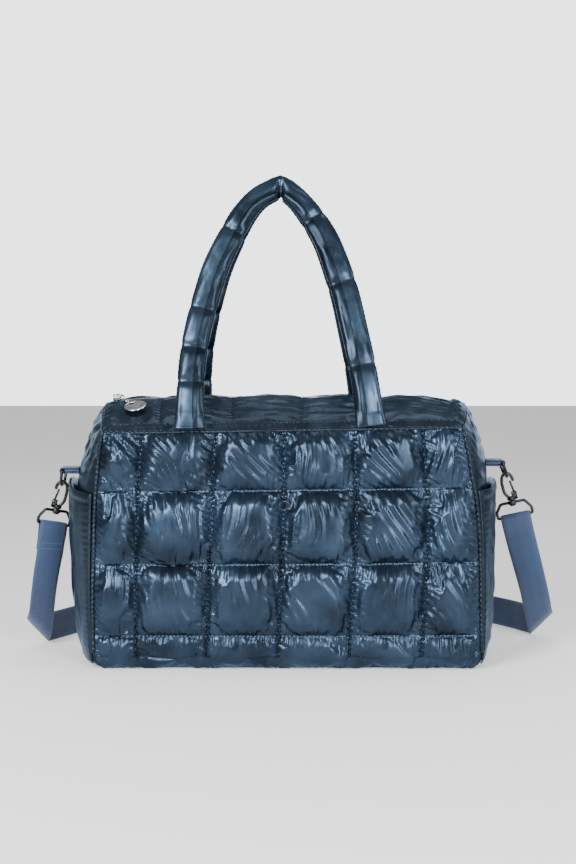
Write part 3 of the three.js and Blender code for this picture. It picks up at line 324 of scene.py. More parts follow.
def level_place(angle, up, top, depth):
    radius = EDGE_ROUND - depth
    tuck = EDGE_ROUND - radius * np.sin(angle)
    start = GAP + EDGE_ROUND - radius * np.cos(angle)
    return tuck, lerp(start, top - depth, up)


def front_point(across, angle, up, depth=0.0):
    tuck, z = level_place(angle, up, top_seam(across), depth)
    left = -(seam_x("left", up) - tuck)
    right = seam_x("right", up) - tuck
    belly = FRONT_BELLY * np.maximum(np.sin(math.pi * across) * np.sin(math.pi * up), 0) ** 0.7
    return stack(lerp(left, right, across), -(half_depth(up) - tuck + belly), z)


def gusset_point(name, across, angle, up, depth=0.0):
    end = 0 if name == "left" else 1
    tuck, z = level_place(angle, up, roof_height(end, np.abs(across)), depth)
    x = seam_x(name, up) - tuck + bulge_x(name, up) * arch(across)
    return stack(SIDES[name] * x, across * (half_depth(up) - tuck), z)


def roof_point(across, back, depth=0.0):
    def edge(name):
        return seam_x(name, 1) - depth + bulge_x(name, 1) * arch(back)
    y = lerp(HALF_ZIP, TOP_DEPTH / 2 - depth, (back - FLAT_SHARE) / (1 - FLAT_SHARE))
    return stack(lerp(-edge("left"), edge("right"), across), -y, roof_height(across, back) - depth)


def cell_shares(value, edges):
    """Cell's number and the share of the way through it."""
    edges = np.asarray(edges)
    i = np.clip(np.searchsorted(edges, value, side="right") - 1, 0, len(edges) - 2)
    return i, (value - edges[i]) / (edges[i + 1] - edges[i])


# Meshes

def new_object(name, points, faces, uv=None, smooth=True):
    mesh = bpy.data.meshes.new(name)
    mesh.from_pydata((np.asarray(points) / 1000).tolist(), [], faces)
    if uv is not None:
        layer = mesh.uv_layers.new(name="plan")
        loops = np.empty(len(mesh.loops), dtype=np.int32)
        mesh.loops.foreach_get("vertex_index", loops)
        layer.data.foreach_set("uv", (np.asarray(uv)[loops] / 1000).ravel())
    mesh.polygons.foreach_set("use_smooth", [smooth] * len(mesh.polygons))
    mesh.update()
    obj = bpy.data.objects.new(name, mesh)
    bpy.context.scene.collection.objects.link(obj)
    return obj


def grid_faces(rows, columns, closed_rows=False, closed_columns=False, start=0):
    faces = []
    for j in range(rows if closed_rows else rows - 1):
        for i in range(columns if closed_columns else columns - 1):
            a = start + j * columns + i
            b = start + j * columns + (i + 1) % columns
            c = start + ((j + 1) % rows) * columns + (i + 1) % columns
            d = start + ((j + 1) % rows) * columns + i
            faces.append((a, b, c, d))
    return faces


def tube_faces(rows, sides, start=0, turned=False):
    """Faces of a closed tube with its two end caps, which face the other way when it is turned."""
    last = start + (rows - 1) * sides
    first_cap, last_cap = tuple(range(start, start + sides)), tuple(range(last, last + sides))
    caps = [first_cap[::-1], last_cap] if turned else [first_cap, last_cap[::-1]]
    return grid_faces(rows, sides, closed_columns=True, start=start) + caps


def strip_plan(along, over):
    """Flat coordinates of a strip with one length for each row and one place across for each column."""
    return np.stack(np.meshgrid(along, over, indexing="ij"), axis=-1).reshape(-1, 2)


def plan_of(grid):
    """Flat coordinates of a grid of points: its mean lengths along the columns and the rows."""
    along = np.linalg.norm(np.diff(grid, axis=1), axis=2).mean(axis=0)
    up = np.linalg.norm(np.diff(grid, axis=0), axis=2).mean(axis=1)
    u = np.concatenate([[0], np.cumsum(along)])
    v = np.concatenate([[0], np.cumsum(up)])
    return np.stack(np.meshgrid(u, v), axis=-1)


def panel(name, skin, rim, flip=False):
    """Padded panel: a skin grid whose border is turned in along the rim grid's border."""
    rows, columns = skin.shape[:2]
    grid = np.empty((rows + 2, columns + 2, 3))
    grid[1:-1, 1:-1] = skin
    grid[0, 1:-1], grid[-1, 1:-1] = rim[0], rim[-1]
    grid[1:-1, 0], grid[1:-1, -1] = rim[:, 0], rim[:, -1]
    for j, i in ((0, 0), (0, -1), (-1, 0), (-1, -1)):
        grid[j, i] = rim[j, i]
    plan = plan_of(grid)
    faces = grid_faces(rows + 2, columns + 2)
    if flip:
        faces = [face[::-1] for face in faces]
    return new_object(name, grid.reshape(-1, 3), faces, plan.reshape(-1, 2))


def dress(piece, material, body="bag", replaces=()):
    piece.data.materials.append(material)
    if replaces:
        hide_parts(*replaces)
    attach(piece, body)
    return piece


def simulate(name, grid, pinned):
    """Cloth run on a grid of points whose pinned ones stay: it swells and wrinkles between its seams."""
    scale = 0.01
    rows, columns = grid.shape[:2]
    mesh = bpy.data.meshes.new(name)
    mesh.from_pydata((grid.reshape(-1, 3) * scale).tolist(), [], grid_faces(rows, columns))
    obj = bpy.data.objects.new(name, mesh)
    bpy.context.scene.collection.objects.link(obj)
    group = obj.vertex_groups.new(name="pin")
    group.add([int(i) for i in np.flatnonzero(pinned.ravel())], 1.0, "REPLACE")
    modifier = obj.modifiers.new("Cloth", "CLOTH")
    settings = modifier.settings
    for key, value in CLOTH.items():
        setattr(settings, key, value)
    settings.vertex_group_mass = "pin"
    settings.effector_weights.gravity = 0
    modifier.collision_settings.use_collision = False
    modifier.point_cache.frame_start = 1
    modifier.point_cache.frame_end = CLOTH_FRAMES
    scene = bpy.context.scene
    for number in range(1, CLOTH_FRAMES + 1):
        scene.frame_set(number)
    shaped = obj.evaluated_get(bpy.context.evaluated_depsgraph_get()).to_mesh()
    flat = np.empty(rows * columns * 3, dtype=np.float32)
    shaped.vertices.foreach_get("co", flat)
    bpy.data.objects.remove(obj)
    bpy.data.meshes.remove(mesh)
    scene.frame_set(1)
    return flat.reshape(rows, columns, 3).astype(float) / scale


# Materials

class Shader:
    """A material's node tree with short calls for its nodes."""

    def __init__(self, name):
        self.material = bpy.data.materials.new(name)
        self.material.use_nodes = True
        self.tree = self.material.node_tree
        self.surface = self.tree.nodes["Principled BSDF"]

    def node(self, kind, _out=0, _set=None, **inputs):
        node = self.tree.nodes.new(kind)
        for key, value in (_set or {}).items():
            setattr(node, key, value)
        for key, value in inputs.items():
            self.put(node.inputs[int(key[1:]) if key[0] == "i" and key[1:].isdigit() else key], value)
        return node.outputs[_out]

    def put(self, socket, value):
        if isinstance(value, bpy.types.NodeSocket):
            self.tree.links.new(value, socket)
        else:
            socket.default_value = value

    def set(self, **inputs):
        for key, value in inputs.items():
            self.put(self.surface.inputs[key.replace("_", " ")], value)

    def place(self):
        return self.node("ShaderNodeTexCoord", "Object")

    def scaled(self, vector, size):
        return self.node("ShaderNodeVectorMath", _set={"operation": "MULTIPLY"}, i0=vector, i1=size)

    def noise(self, vector, scale, detail=3.0, roughness=0.5, distortion=0.0):
        return self.node("ShaderNodeTexNoise", Vector=vector, Scale=scale, Detail=detail, Roughness=roughness,
                         Distortion=distortion)

    def math(self, operation, first, second=0.0):
        return self.node("ShaderNodeMath", _set={"operation": operation}, i0=first, i1=second)

    def spread(self, value, low, high, first=0.0, last=1.0):
        return self.node("ShaderNodeMapRange", **{"Value": value, "From Min": first, "From Max": last,
                                                  "To Min": low, "To Max": high})

    def mix(self, share, first, second):
        node = self.tree.nodes.new("ShaderNodeMix")
        node.data_type = "RGBA"
        self.put(node.inputs[0], share)
        self.put(node.inputs[6], first)
        self.put(node.inputs[7], second)
        return node.outputs[2]

    def bump(self, height, strength, distance, normal=None):
        inputs = {"Height": height, "Strength": strength, "Distance": distance}
        if normal is not None:
            inputs["Normal"] = normal
        return self.node("ShaderNodeBump", **inputs)


def nylon_material(name, dark, light, rough=0.30, metallic=0.8, crease=1.0):
    shader = Shader(name)
    place = shader.place()
    broad = shader.noise(place, 22, 4)
    long = shader.noise(shader.scaled(place, (1.0, 1.0, 0.35)), 40, 2, 0.4, 0.4)
    long = shader.math("ABSOLUTE", shader.math("SUBTRACT", long, 0.5))
    fine = shader.noise(place, 620, 2)
    tone = shader.mix(shader.spread(broad, 0, 1, 0.35, 0.65), (*dark, 1), (*light, 1))
    roughness = shader.spread(shader.noise(place, 60, 4), rough - 0.06, rough + 0.08, 0.3, 0.7)
    normal = shader.bump(long, 0.28 * crease, 0.005)
    normal = shader.bump(fine, 0.10, 0.0003, normal)
    shader.set(Base_Color=tone, Roughness=roughness, Metallic=metallic, Normal=normal)
    shader.set(Specular_IOR_Level=0.5, Specular_Tint=(0.55, 0.75, 1.0, 1))
    return shader.material


def webbing_material(name, dark, light):
    shader = Shader(name)
    plan = shader.node("ShaderNodeUVMap", _set={"uv_map": "plan"})
    split = shader.tree.nodes.new("ShaderNodeSeparateXYZ")
    shader.put(split.inputs[0], plan)
    along, across = split.outputs[0], split.outputs[1]
    # Slanted ribs that turn back half-way, as in a herringbone tape
    fold = shader.math("PINGPONG", across, 0.0053)
    slant = shader.math("ADD", along, shader.math("MULTIPLY", fold, 0.9))
    rib = shader.math("SINE", shader.math("MULTIPLY", slant, 2 * math.pi / 0.0021))
    cross = shader.math("SINE", shader.math("MULTIPLY", across, 2 * math.pi / 0.0013))
    weave = shader.math("ADD", shader.math("MULTIPLY", rib, 0.40), shader.math("MULTIPLY", cross, 0.20))
    weave = shader.math("ADD", weave, 0.5)
    fuzz = shader.noise(shader.place(), 900, 3)
    broad = shader.noise(shader.place(), 30, 3)
    share = shader.math("MULTIPLY", shader.math("ADD", weave, shader.spread(broad, -0.25, 0.25)), 0.9)
    tone = shader.mix(share, (*dark, 1), (*light, 1))
    normal = shader.bump(weave, 0.55, 0.0006)
    normal = shader.bump(fuzz, 0.25, 0.0003, normal)
    shader.set(Base_Color=tone, Roughness=shader.spread(fuzz, 0.62, 0.9), Normal=normal)
    shader.set(Metallic=0.0, Sheen_Weight=0.25, Sheen_Roughness=0.5)
    return shader.material


def thread_material(name, color):
    shader = Shader(name)
    place = shader.place()
    twist = shader.noise(place, 1600, 2)
    tone = shader.mix(twist, (*[c * 0.6 for c in color], 1), (*color, 1))
    normal = shader.bump(twist, 0.4, 0.0003)
    shader.set(Base_Color=tone, Roughness=shader.spread(twist, 0.4, 0.7), Normal=normal, Sheen_Weight=0.2)
    return shader.material


def metal_material(name, dark, light, rough, metallic=1.0, coat=0.0):
    shader = Shader(name)
    place = shader.place()
    wear = shader.noise(place, 240, 5, 0.6)
    brushed = shader.noise(shader.scaled(place, (1.0, 1.0, 6.0)), 420, 2)
    tone = shader.mix(shader.spread(wear, 0, 1, 0.4, 0.7), (*dark, 1), (*light, 1))
    normal = shader.bump(brushed, 0.05, 0.0002)
    shader.set(Base_Color=tone, Metallic=metallic, Normal=normal)
    shader.set(Roughness=shader.spread(wear, rough * 0.75, rough * 1.35, 0.3, 0.7))
    shader.set(Coat_Weight=coat, Coat_Roughness=0.2)
    return shader.material


NYLON_DARK = (0.013, 0.020, 0.032)
NYLON_LIGHT = (0.029, 0.048, 0.079)
nylon = nylon_material("nylon_front", NYLON_DARK, NYLON_LIGHT)
# Darker copy of the nylon for the top slopes: painted shade
nylon_top_painted_shade = nylon_material("nylon_top_painted_shade", (0.011, 0.016, 0.023), (0.028, 0.041, 0.058), 0.29, 0.7)
# Darker copy of the nylon for the gussets, pockets, base and piping: painted shade
nylon_side_painted_shade = nylon_material("nylon_side_painted_shade", (0.006, 0.009, 0.013), (0.015, 0.021, 0.030), 0.34, 0.65)
# Lighter copy of the nylon for the handles: painted highlight
nylon_handle_painted_light = nylon_material("nylon_handle_painted_light", (0.019, 0.030, 0.047), (0.046, 0.076, 0.120), crease=0.8)
# Darker copy of the nylon for the handles' inner half: painted shade
nylon_inner_painted_shade = nylon_material("nylon_inner_painted_shade", (0.008, 0.012, 0.019), (0.019, 0.029, 0.044), 0.32)
# Darkest copy of the nylon for the seam knots and handle edge beads: painted shade of the seam grooves
nylon_seam_painted_shade = nylon_material("nylon_seam_painted_shade", (0.005, 0.008, 0.013), (0.012, 0.020, 0.032), 0.36)
webbing = webbing_material("webbing", (0.009, 0.023, 0.064), (0.036, 0.082, 0.188))
tape_cloth = webbing_material("zip_cloth", (0.006, 0.011, 0.022), (0.018, 0.030, 0.052))
thread = thread_material("thread", (0.10, 0.19, 0.30))
bright = metal_material("bright_metal", (0.55, 0.56, 0.58), (0.86, 0.86, 0.88), 0.16)
black = metal_material("dark_metal", (0.010, 0.011, 0.013), (0.030, 0.032, 0.036), 0.30, 0.85, 0.3)


# Quilted front and back

def step_counts(edges, span, step, least):
    """Number of steps between each two edges, where the shares span this many millimetres."""
    return [max(least, round((high - low) * span / step)) for low, high in zip(edges, edges[1:])]


def walk(edges, counts):
    """Shares from the first edge to the last, in even steps between each two."""
    spans = zip(edges, edges[1:], counts)
    return [lerp(low, high, i / count) for low, high, count in spans for i in range(count)] + [edges[-1]]


def edge_marks(counts):
    return [i == 0 for count in counts for i in range(count)] + [True]


def quilt_grid(step):
    """Shares across at the base and top, and each level's roll angle and share up, with seam marks."""
    bases, tops = zip(*QUILT_COLUMNS)
    heights = [row[0] for row in QUILT_ROWS]
    columns = step_counts(bases, BAG_WIDTH, step, 6)
    rows = step_counts(heights, TOP_SEAM_LEFT - EDGE_ROUND, step, 5)
    rolls = max(3, round(EDGE_ROUND * 1.57 / step))
    angles = [i / rolls * math.pi / 2 for i in range(rolls)] + [math.pi / 2] * (sum(rows) + 1)
    ups = [0.0] * rolls + walk(heights, rows)
    level = [i == 0 for i in range(rolls)] + edge_marks(rows)
    # The base line is marked once, where the roll starts
    level[rolls] = False
    lists = (walk(bases, columns), walk(tops, columns), edge_marks(columns), angles, ups, level)
    return [np.array(values) for values in lists]


def quilted_wall(step):
    """Points of the front's padded outside and of its rim, with the puff, pleats and folds of each cell."""
    base, top, upright, angles, ups, level = quilt_grid(step)
    trim = GAP / 2 / BAG_WIDTH
    across = np.clip(lerp(base[None, :], top[None, :], ups[:, None]), trim, 1 - trim)
    up = np.repeat(np.minimum(ups, 1 - GAP / 2 / TOP_SEAM_LEFT)[:, None], len(base), axis=1)
    angle = np.repeat(angles[:, None], len(base), axis=1)
    skin = front_point(across, angle, up)
    rim = front_point(across, angle, up, WALL)
    row_edges = [row[0] for row in QUILT_ROWS]
    row, t = cell_shares(up, row_edges)
    col = np.zeros_like(row)
    s = np.zeros_like(up)
    for j in range(len(ups)):
        edges = [lerp(b, t0, up[j, 0]) for b, t0 in QUILT_COLUMNS]
        col[j], s[j] = cell_shares(across[j], edges)
    puff = np.array([value for _, value in QUILT_ROWS])[row]
    height = QUILT_PUFF * puff * pillow(s) * pillow(t)
    x, z = skin[..., 0], skin[..., 2]
    # Distance in millimetres from the nearest upright and level seams
    from_upright = np.minimum(s, 1 - s) * BAG_WIDTH * CELL_SHARE
    rows_high = np.diff(row_edges)[row] * (TOP_SEAM_LEFT - EDGE_ROUND)
    from_level = np.minimum(t, 1 - t) * rows_high
    free = smoothstep(from_upright, 0, 9) * smoothstep(from_level, 0, 7)
    crease = np.zeros_like(up)
    for number in range(len(QUILT_COLUMNS) - 1):
        for line in range(len(QUILT_ROWS) - 1):
            mine = (col == number) & (row == line)
            lean = np.random.default_rng(31 * number + line).uniform(-0.55, 0.35)
            if line == 3:
                lean -= 0.15
            folds = creases(x, z, 100 + 7 * number + line, FOLD_PITCH, -lean)
            crease = np.where(mine, folds, crease)
    wrinkle = crease * np.array(ROW_FOLDS)[row] * free
    level_pleat = gathers(x, 5, 5.6) * np.exp(-from_level / 7.5) * (0.35 + 0.65 * (row > 0))
    upright_pleat = gathers(z + 0.5 * x, 9, 6.4) * np.exp(-from_upright / 6.0)
    out = height * 0.8 + (0.6 * level_pleat + 0.6 * upright_pleat) * smoothstep(up, 0, 0.03)
    side = 0.7 * gathers(z, 21, 6.0) * np.exp(-from_upright / 2.0)
    shaped = skin + stack(side, -out, 0 * out)
    pinned = np.zeros(shaped.shape[:2], dtype=bool)
    pinned[:, upright] = True
    pinned[level, :] = True
    pinned[:, [0, -1]] = True
    pinned[[0, 1, -1], :] = True
    swollen = simulate("quilt_cloth", shaped, pinned)
    shaped = shaped + np.clip(swollen - shaped, -CLOTH_REACH, CLOTH_REACH)
    limit = QUILT_PUFF * 1.5 * np.maximum(puff, 0.5)
    lift = skin[..., 1] - shaped[..., 1]
    relief = 2.6 * wrinkle + (0.9 * level_pleat + 0.7 * upright_pleat) * free ** 0.5 * smoothstep(up, 0, 0.03)
    shaped[..., 1] = skin[..., 1] - limit * np.tanh(lift / limit) - relief
    shaped[..., 2] = np.maximum(shaped[..., 2], 0.4)
    return shaped, rim


def along_lines(lines, pitch, draw, jitter=0.0):
    """Places and directions along polylines, one every pitch."""
    spots = []
    for line in lines:
        lengths = np.linalg.norm(np.diff(line, axis=0), axis=1)
        at = np.concatenate([[0], np.cumsum(lengths)])
        count = int(at[-1] / pitch)
        for i in range(count):
            here = (i + 0.5 + draw.uniform(-jitter, jitter)) * pitch
            p = np.array([np.interp(here, at, line[:, k]) for k in range(3)])
            q = np.array([np.interp(min(here + 0.5, at[-1]), at, line[:, k]) for k in range(3)])
            r = np.array([np.interp(max(here - 0.5, 0), at, line[:, k]) for k in range(3)])
            spots.append((p, unit(q - r + 1e-9)))
    return spots


def beads(name, spots, normals, size, turn=0.0):
    """Small long bumps laid on a surface, for stitches and for the knots of a gathered seam."""
    length, width, height, lift = size
    sides, rings = 6, 4
    points, faces = [], []
    for number, ((p, ahead), normal) in enumerate(zip(spots, normals)):
        normal = unit(normal)
        ahead = unit(ahead - normal * np.dot(ahead, normal))
        across = np.cross(normal, ahead)
        slant = turn * (1 if number % 2 else -1)
        ahead, across = (ahead * math.cos(slant) + across * math.sin(slant),
                         across * math.cos(slant) - ahead * math.sin(slant))
        start = len(points)
        for i in range(rings):
            a = math.pi * (i + 0.5) / rings
            for j in range(sides):
                b = 2 * math.pi * (j + 0.5) / sides
                points.append(p + normal * lift - ahead * math.cos(a) * length / 2
                              + across * math.sin(a) * math.cos(b) * width / 2
                              + normal * math.sin(a) * math.sin(b) * height / 2)
        faces += tube_faces(rings, sides, start, turned=True)
    return new_object(name, np.array(points), faces, np.array(points)[:, :2])


def mirrored(grid):
    return grid * np.array([1.0, -1.0, 1.0])


quilt, quilt_rim = quilted_wall(QUILT_STEP)
front = panel("front_quilt", quilt, quilt_rim)
dress(front, nylon, replaces=["front_panel"])
back = panel("back_quilt", mirrored(quilt), mirrored(quilt_rim), flip=True)
dress(back, nylon, replaces=["back_panel"])


def seam_lines():
    """The quilting's upright seams, and its level ones with the stitch lines inside both ends, without puff."""
    uprights, levels = [], []
    heights = np.linspace(0.0, 0.995, 90)
    for base, top in QUILT_COLUMNS[1:-1]:
        across = lerp(base, top, heights)
        uprights.append(front_point(across, math.pi / 2, heights))
    across = np.linspace(0.004, 0.996, 140)
    for up, _ in QUILT_ROWS[1:-1]:
        levels.append(front_point(across, math.pi / 2, np.full_like(across, up)))
    for side in (0.012, 0.988):
        levels.append(front_point(np.full_like(heights, side), math.pi / 2, heights))
    return uprights, levels


uprights, levels = seam_lines()
draw = np.random.default_rng(4)
for label, mirror in FACINGS:
    turned = np.array([1.0, mirror, 1.0])
    outward = np.array([0.0, -mirror, 0.0])
    spots = []
    for offset in (-KNOT_OFFSET, KNOT_OFFSET):
        beside = [(line + [offset, 0, 0]) * turned for line in uprights]
        spots += along_lines(beside, KNOT_PITCH, draw, 0.12)
    knots = beads(label + "_seam_knots", spots, [outward] * len(spots), KNOT_SIZE, 0.5)
    dress(knots, nylon_seam_painted_shade)
    spots = along_lines([line * turned for line in levels], STITCH_PITCH, draw, 0.1)
    stitches = beads(label + "_level_stitches", spots, [outward] * len(spots), STITCH_SIZE, 0.25)
    dress(stitches, thread)


# Gussets, pockets and base

def side_grid(lines, rolls, start, top, count):
    """Shares across and up and roll angles, rolled from the start angle at the base and then upright."""
    rolled = start + np.arange(rolls) / rolls * (math.pi / 2 - start)
    angles = np.concatenate([rolled, np.full(count, math.pi / 2)])
    across, up = np.meshgrid(lines, np.concatenate([np.zeros(rolls), np.linspace(0, top, count)]))
    return across, up, np.repeat(angles[:, None], len(lines), axis=1)


def gusset_piece(name):
    trim = GAP / 2 / (BASE_DEPTH / 2)
    columns, rows = GUSSET_GRID
    lines = np.clip(np.linspace(-1, 1, columns), trim - 1, 1 - trim)
    across, up, angle = side_grid(lines, 6, 0, 1 - GAP / 2 / TOP_SEAM_LEFT, rows)
    skin = gusset_point(name, across, angle, up)
    rim = gusset_point(name, across, angle, up, WALL)
    y, z = skin[..., 1], skin[..., 2]
    from_edge = (1 - np.abs(across)) * BASE_DEPTH / 2
    seed = 300 if name == "left" else 340
    pleat = gathers(z, seed, 6.2) * np.exp(-from_edge / 6)
    folds = waves(y, z, seed + 1, 20, 3, 0.9, 0.9) * smoothstep(from_edge, 0, 14)
    high = smoothstep(up, 0.62, 0.95)
    corner = waves(y, z, seed + 2, 10, 4, 1.2, 0.5) * high * smoothstep(from_edge, 0, 8)
    covered = smoothstep(up, 0.64, 0.70)
    pad = GUSSET_PAD * arch(across) * pillow(up)
    out = pad + (1.1 * pleat + 0.8 * folds + 1.1 * corner) * lerp(0.25, 1, covered) * smoothstep(up, 0, 0.05)
    out = np.minimum(out, pad + 1.6) * smoothstep(1 - up, 0, 0.02)
    skin[..., 0] += SIDES[name] * out
    piece = panel(name + "_side", skin, rim, flip=name == "left")
    return dress(piece, nylon_side_painted_shade, replaces=["gusset_" + name])


def pocket_piece(name):
    columns, rows = POCKET_GRID
    lines = np.linspace(-POCKET_REACH, POCKET_REACH, columns)
    across, up, angle = side_grid(lines, 4, math.pi / 3, POCKET_MOUTH, rows)
    high = up / POCKET_MOUTH
    dip = (POCKET_DIP / TOP_SEAM_LEFT) * arch(across) * smoothstep(high, 0.5, 1)
    skin = gusset_point(name, across, angle, np.maximum(up - dip, 0))
    roll = np.cos(angle)
    away = unit(stack(SIDES[name] * np.sin(angle), across * roll * 0.2, -roll))
    pad = GUSSET_PAD * arch(across) * pillow(up)
    clear = 2 * GAP + pad + POCKET_GAPE * high ** 0.6 * arch(across) ** 0.6
    thick = lerp(0.55, 1, smoothstep(up, 0, 0.05)) * lerp(0.6, 1, arch(across)) * POCKET_THICK
    y, z = skin[..., 1], skin[..., 2]
    seed = 400 if name == "left" else 440
    from_edge = (1 - np.abs(across) / POCKET_REACH) * BASE_DEPTH / 2
    from_mouth = (POCKET_MOUTH - up) * TOP_SEAM_LEFT
    folds = waves(y, z, seed, 24, 4, 0.25, 0.5) * smoothstep(from_edge, 2, 22) * smoothstep(from_mouth, 8, 24)
    pleat = gathers(z, seed + 1, 6.6) * np.exp(-from_edge / 6)
    hem = gathers(y, seed + 2, 6.0) * np.exp(-np.abs(from_mouth - 9) / 3)
    band = 0.9 * np.exp(-((from_mouth - 4) / 3.2) ** 2) - 0.9 * np.exp(-((from_mouth - 9) / 1.4) ** 2)
    out = thick + (1.3 * folds + 0.9 * pleat + 0.6 * hem + band) * smoothstep(up, 0.0, 0.05)
    outer = skin + away * (clear + out)[..., None]
    inner = skin + away * clear[..., None]
    turned = lerp(outer[-1], inner[-1], 0.5) + [0, 0, 1.2]
    lip = np.stack([turned, inner[-1]])
    depth = [inner[-1 - 6 * i] for i in range(1, 7)]
    whole = np.concatenate([outer, lip, np.stack(depth)])
    rim = whole.copy()
    rim[:len(outer)] = inner
    piece = panel(name + "_pocket", whole, rim, flip=name == "left")
    return dress(piece, nylon_side_painted_shade, replaces=["pocket_" + name])


for side_name in ("left", "right"):
    gusset_piece(side_name)
    pocket_piece(side_name)


def base_piece():
    lines = np.linspace(-1, 1, 40)
    left = gusset_point("left", lines, 0.0, np.zeros(40)) + [GAP, 0, 0]
    right = gusset_point("right", lines, 0.0, np.zeros(40)) + [-GAP, 0, 0]
    share = np.linspace(0, 1, 90)[None, :, None]
    grid = lerp(left[:, None, :], right[:, None, :], share)
    grid[..., 1] *= 1 - GAP / (BASE_DEPTH / 2)
    ribs = 0.25 * (np.sin(grid[..., 0] / 6.5) * np.sin(grid[..., 1] / 9.0) + 1)
    grid[..., 2] = 0.35 + ribs
    rim = grid.copy()
    rim[..., 2] = WALL
    piece = panel("base_cloth", grid, rim, flip=True)
    return dress(piece, nylon_side_painted_shade, replaces=["base_panel"])


base_piece()


# Gathered piping along the seams that frame the front and the back

def piping(name, line, level, radius):
    ahead = unit(np.gradient(line, axis=0))
    level = np.array(level, dtype=float)
    upright = unit(np.cross(ahead, level))
    sides = 12
    turns = np.arange(sides) / sides * 2 * math.pi
    size = radius + 0.45 * gathers(line[:, 0] + line[:, 2], 77, 5.2)
    grid = np.array([line + (level * math.cos(t) + upright * math.sin(t)) * size[:, None] for t in turns])
    grid = grid.transpose(1, 0, 2)
    points = grid.reshape(-1, 3)
    dress(new_object(name, points, tube_faces(len(grid), sides), points[:, :2]), nylon_side_painted_shade)


for label, mirror in FACINGS:
    across = np.linspace(0.01, 0.99, 420)
    line = front_point(across, math.pi / 2, np.full_like(across, 0.996)) * [1, mirror, 1]
    piping(label + "_top_piping", line + [0, -mirror * 1.2, -0.4], (0, -mirror, 0), 2.0)
    up = np.linspace(0.02, 0.985, 300)
    for side_name, share in (("left", 0.0), ("right", 1.0)):
        line = front_point(np.full_like(up, share), math.pi / 2, up) * [1, mirror, 1]
        place = [SIDES[side_name] * 1.3, mirror * 1.6, 0]
        piping("%s_%s_piping" % (label, side_name), line + place, (0, -mirror, 0), 2.2)


# Top slopes and the gathered welt

def width_share(x):
    left, right = seam_x("left", 1), seam_x("right", 1)
    return np.clip((x + left) / (left + right), 0, 1)


def roof_freedom(x, y):
    legs = [HANDLE_SPREAD * HANDLE_ROWS[0][name] for name in SIDES]
    beside = np.minimum(*[smoothstep(np.abs(x - leg), HANDLE_WIDTH * 0.6, HANDLE_WIDTH) for leg in legs])
    away = smoothstep(TOP_DEPTH / 2 - np.abs(y), HANDLE_THICK, 2 * HANDLE_THICK)
    return np.maximum(beside, away)


def roof_piece(facing):
    shares = walk(ROOF_SEAMS, step_counts(ROOF_SEAMS, ROOF_WIDTH, ROOF_STEP, 4))
    trim = GAP / 2 / BAG_WIDTH
    lines = np.concatenate([np.linspace(1 - GAP / 2 / (TOP_DEPTH / 2), 0.80, 15),
                            np.linspace(0.78, FLAT_SHARE, 30)])
    across, back = np.meshgrid(np.clip(shares, trim, 1 - trim), lines)
    skin = roof_point(across, back)
    rim = roof_point(across, back, WALL)
    x, y = skin[..., 0], skin[..., 1]
    cell, t = cell_shares(across, ROOF_SEAMS)
    seam_gap = np.minimum(t, 1 - t) * np.diff(ROOF_SEAMS)[cell] * ROOF_WIDTH
    border = smoothstep(1 - back, 0, 0.03) * smoothstep(back - FLAT_SHARE, 0, 0.06)
    disc = 1.0
    if facing == "front":
        near = smoothstep(np.abs(across - 0.08), 0.03, 0.07)
        disc = np.where(back < 0.9, near, 1.0)
    ends = smoothstep(np.minimum(across, 1 - across), 0, 0.02)
    free = ends * disc * roof_freedom(x, y) * border
    seed = 500 if facing == "front" else 560
    welt = WELT_HEIGHT * np.exp(-((back - WELT_LINE) / 0.045) ** 2)
    groove = -1.3 * np.exp(-((back - GROOVE_LINE) / 0.02) ** 2)
    ruffle = gathers(x, seed, 6.4) * np.exp(-((back - WELT_LINE) / 0.06) ** 2)
    pucker = gathers(x, seed + 1, 5.0) * np.exp(-((back - GROOVE_LINE) / 0.035) ** 2)
    cross = gathers(y, seed + 2, 6.0) * np.exp(-seam_gap / 4.5)
    folds = waves(x, y, seed + 3, 13, 3.5, 1.45, 0.5) * smoothstep(seam_gap, 0, 8)
    pad = ROOF_PAD * pillow(t) * smoothstep(1 - back, 0.1, 0.3)
    gathered = 1.3 * ruffle + 0.8 * pucker + 0.9 * cross * (back < 0.9)
    skin[..., 2] += (pad + welt + groove + gathered + 0.7 * folds) * free
    if facing == "rear":
        skin, rim = mirrored(skin), mirrored(rim)
    piece = panel(facing + "_slope", skin, rim, flip=facing == "rear")
    return dress(piece, nylon_top_painted_shade, replaces=["top_panel_" + facing])


for facing in ("front", "rear"):
    roof_piece(facing)
spots, normals = [], []
for mirror in (1.0, -1.0):
    for back_line in (0.835, 0.86):
        shares = np.linspace(0.02, 0.97, 120)
        line = roof_point(shares, np.full_like(shares, back_line)) * [1, mirror, 1]
        for p, ahead in along_lines([line], SLOPE_STITCH_PITCH, draw, 0.1):
            if roof_freedom(p[0], p[1]) > 0.9:
                spots.append((p, ahead))
                normals.append(np.array([0, -0.4 * mirror, 1.0]))
dress(beads("slope_stitches", spots, normals, SLOPE_STITCH_SIZE), thread)


# Carry handles

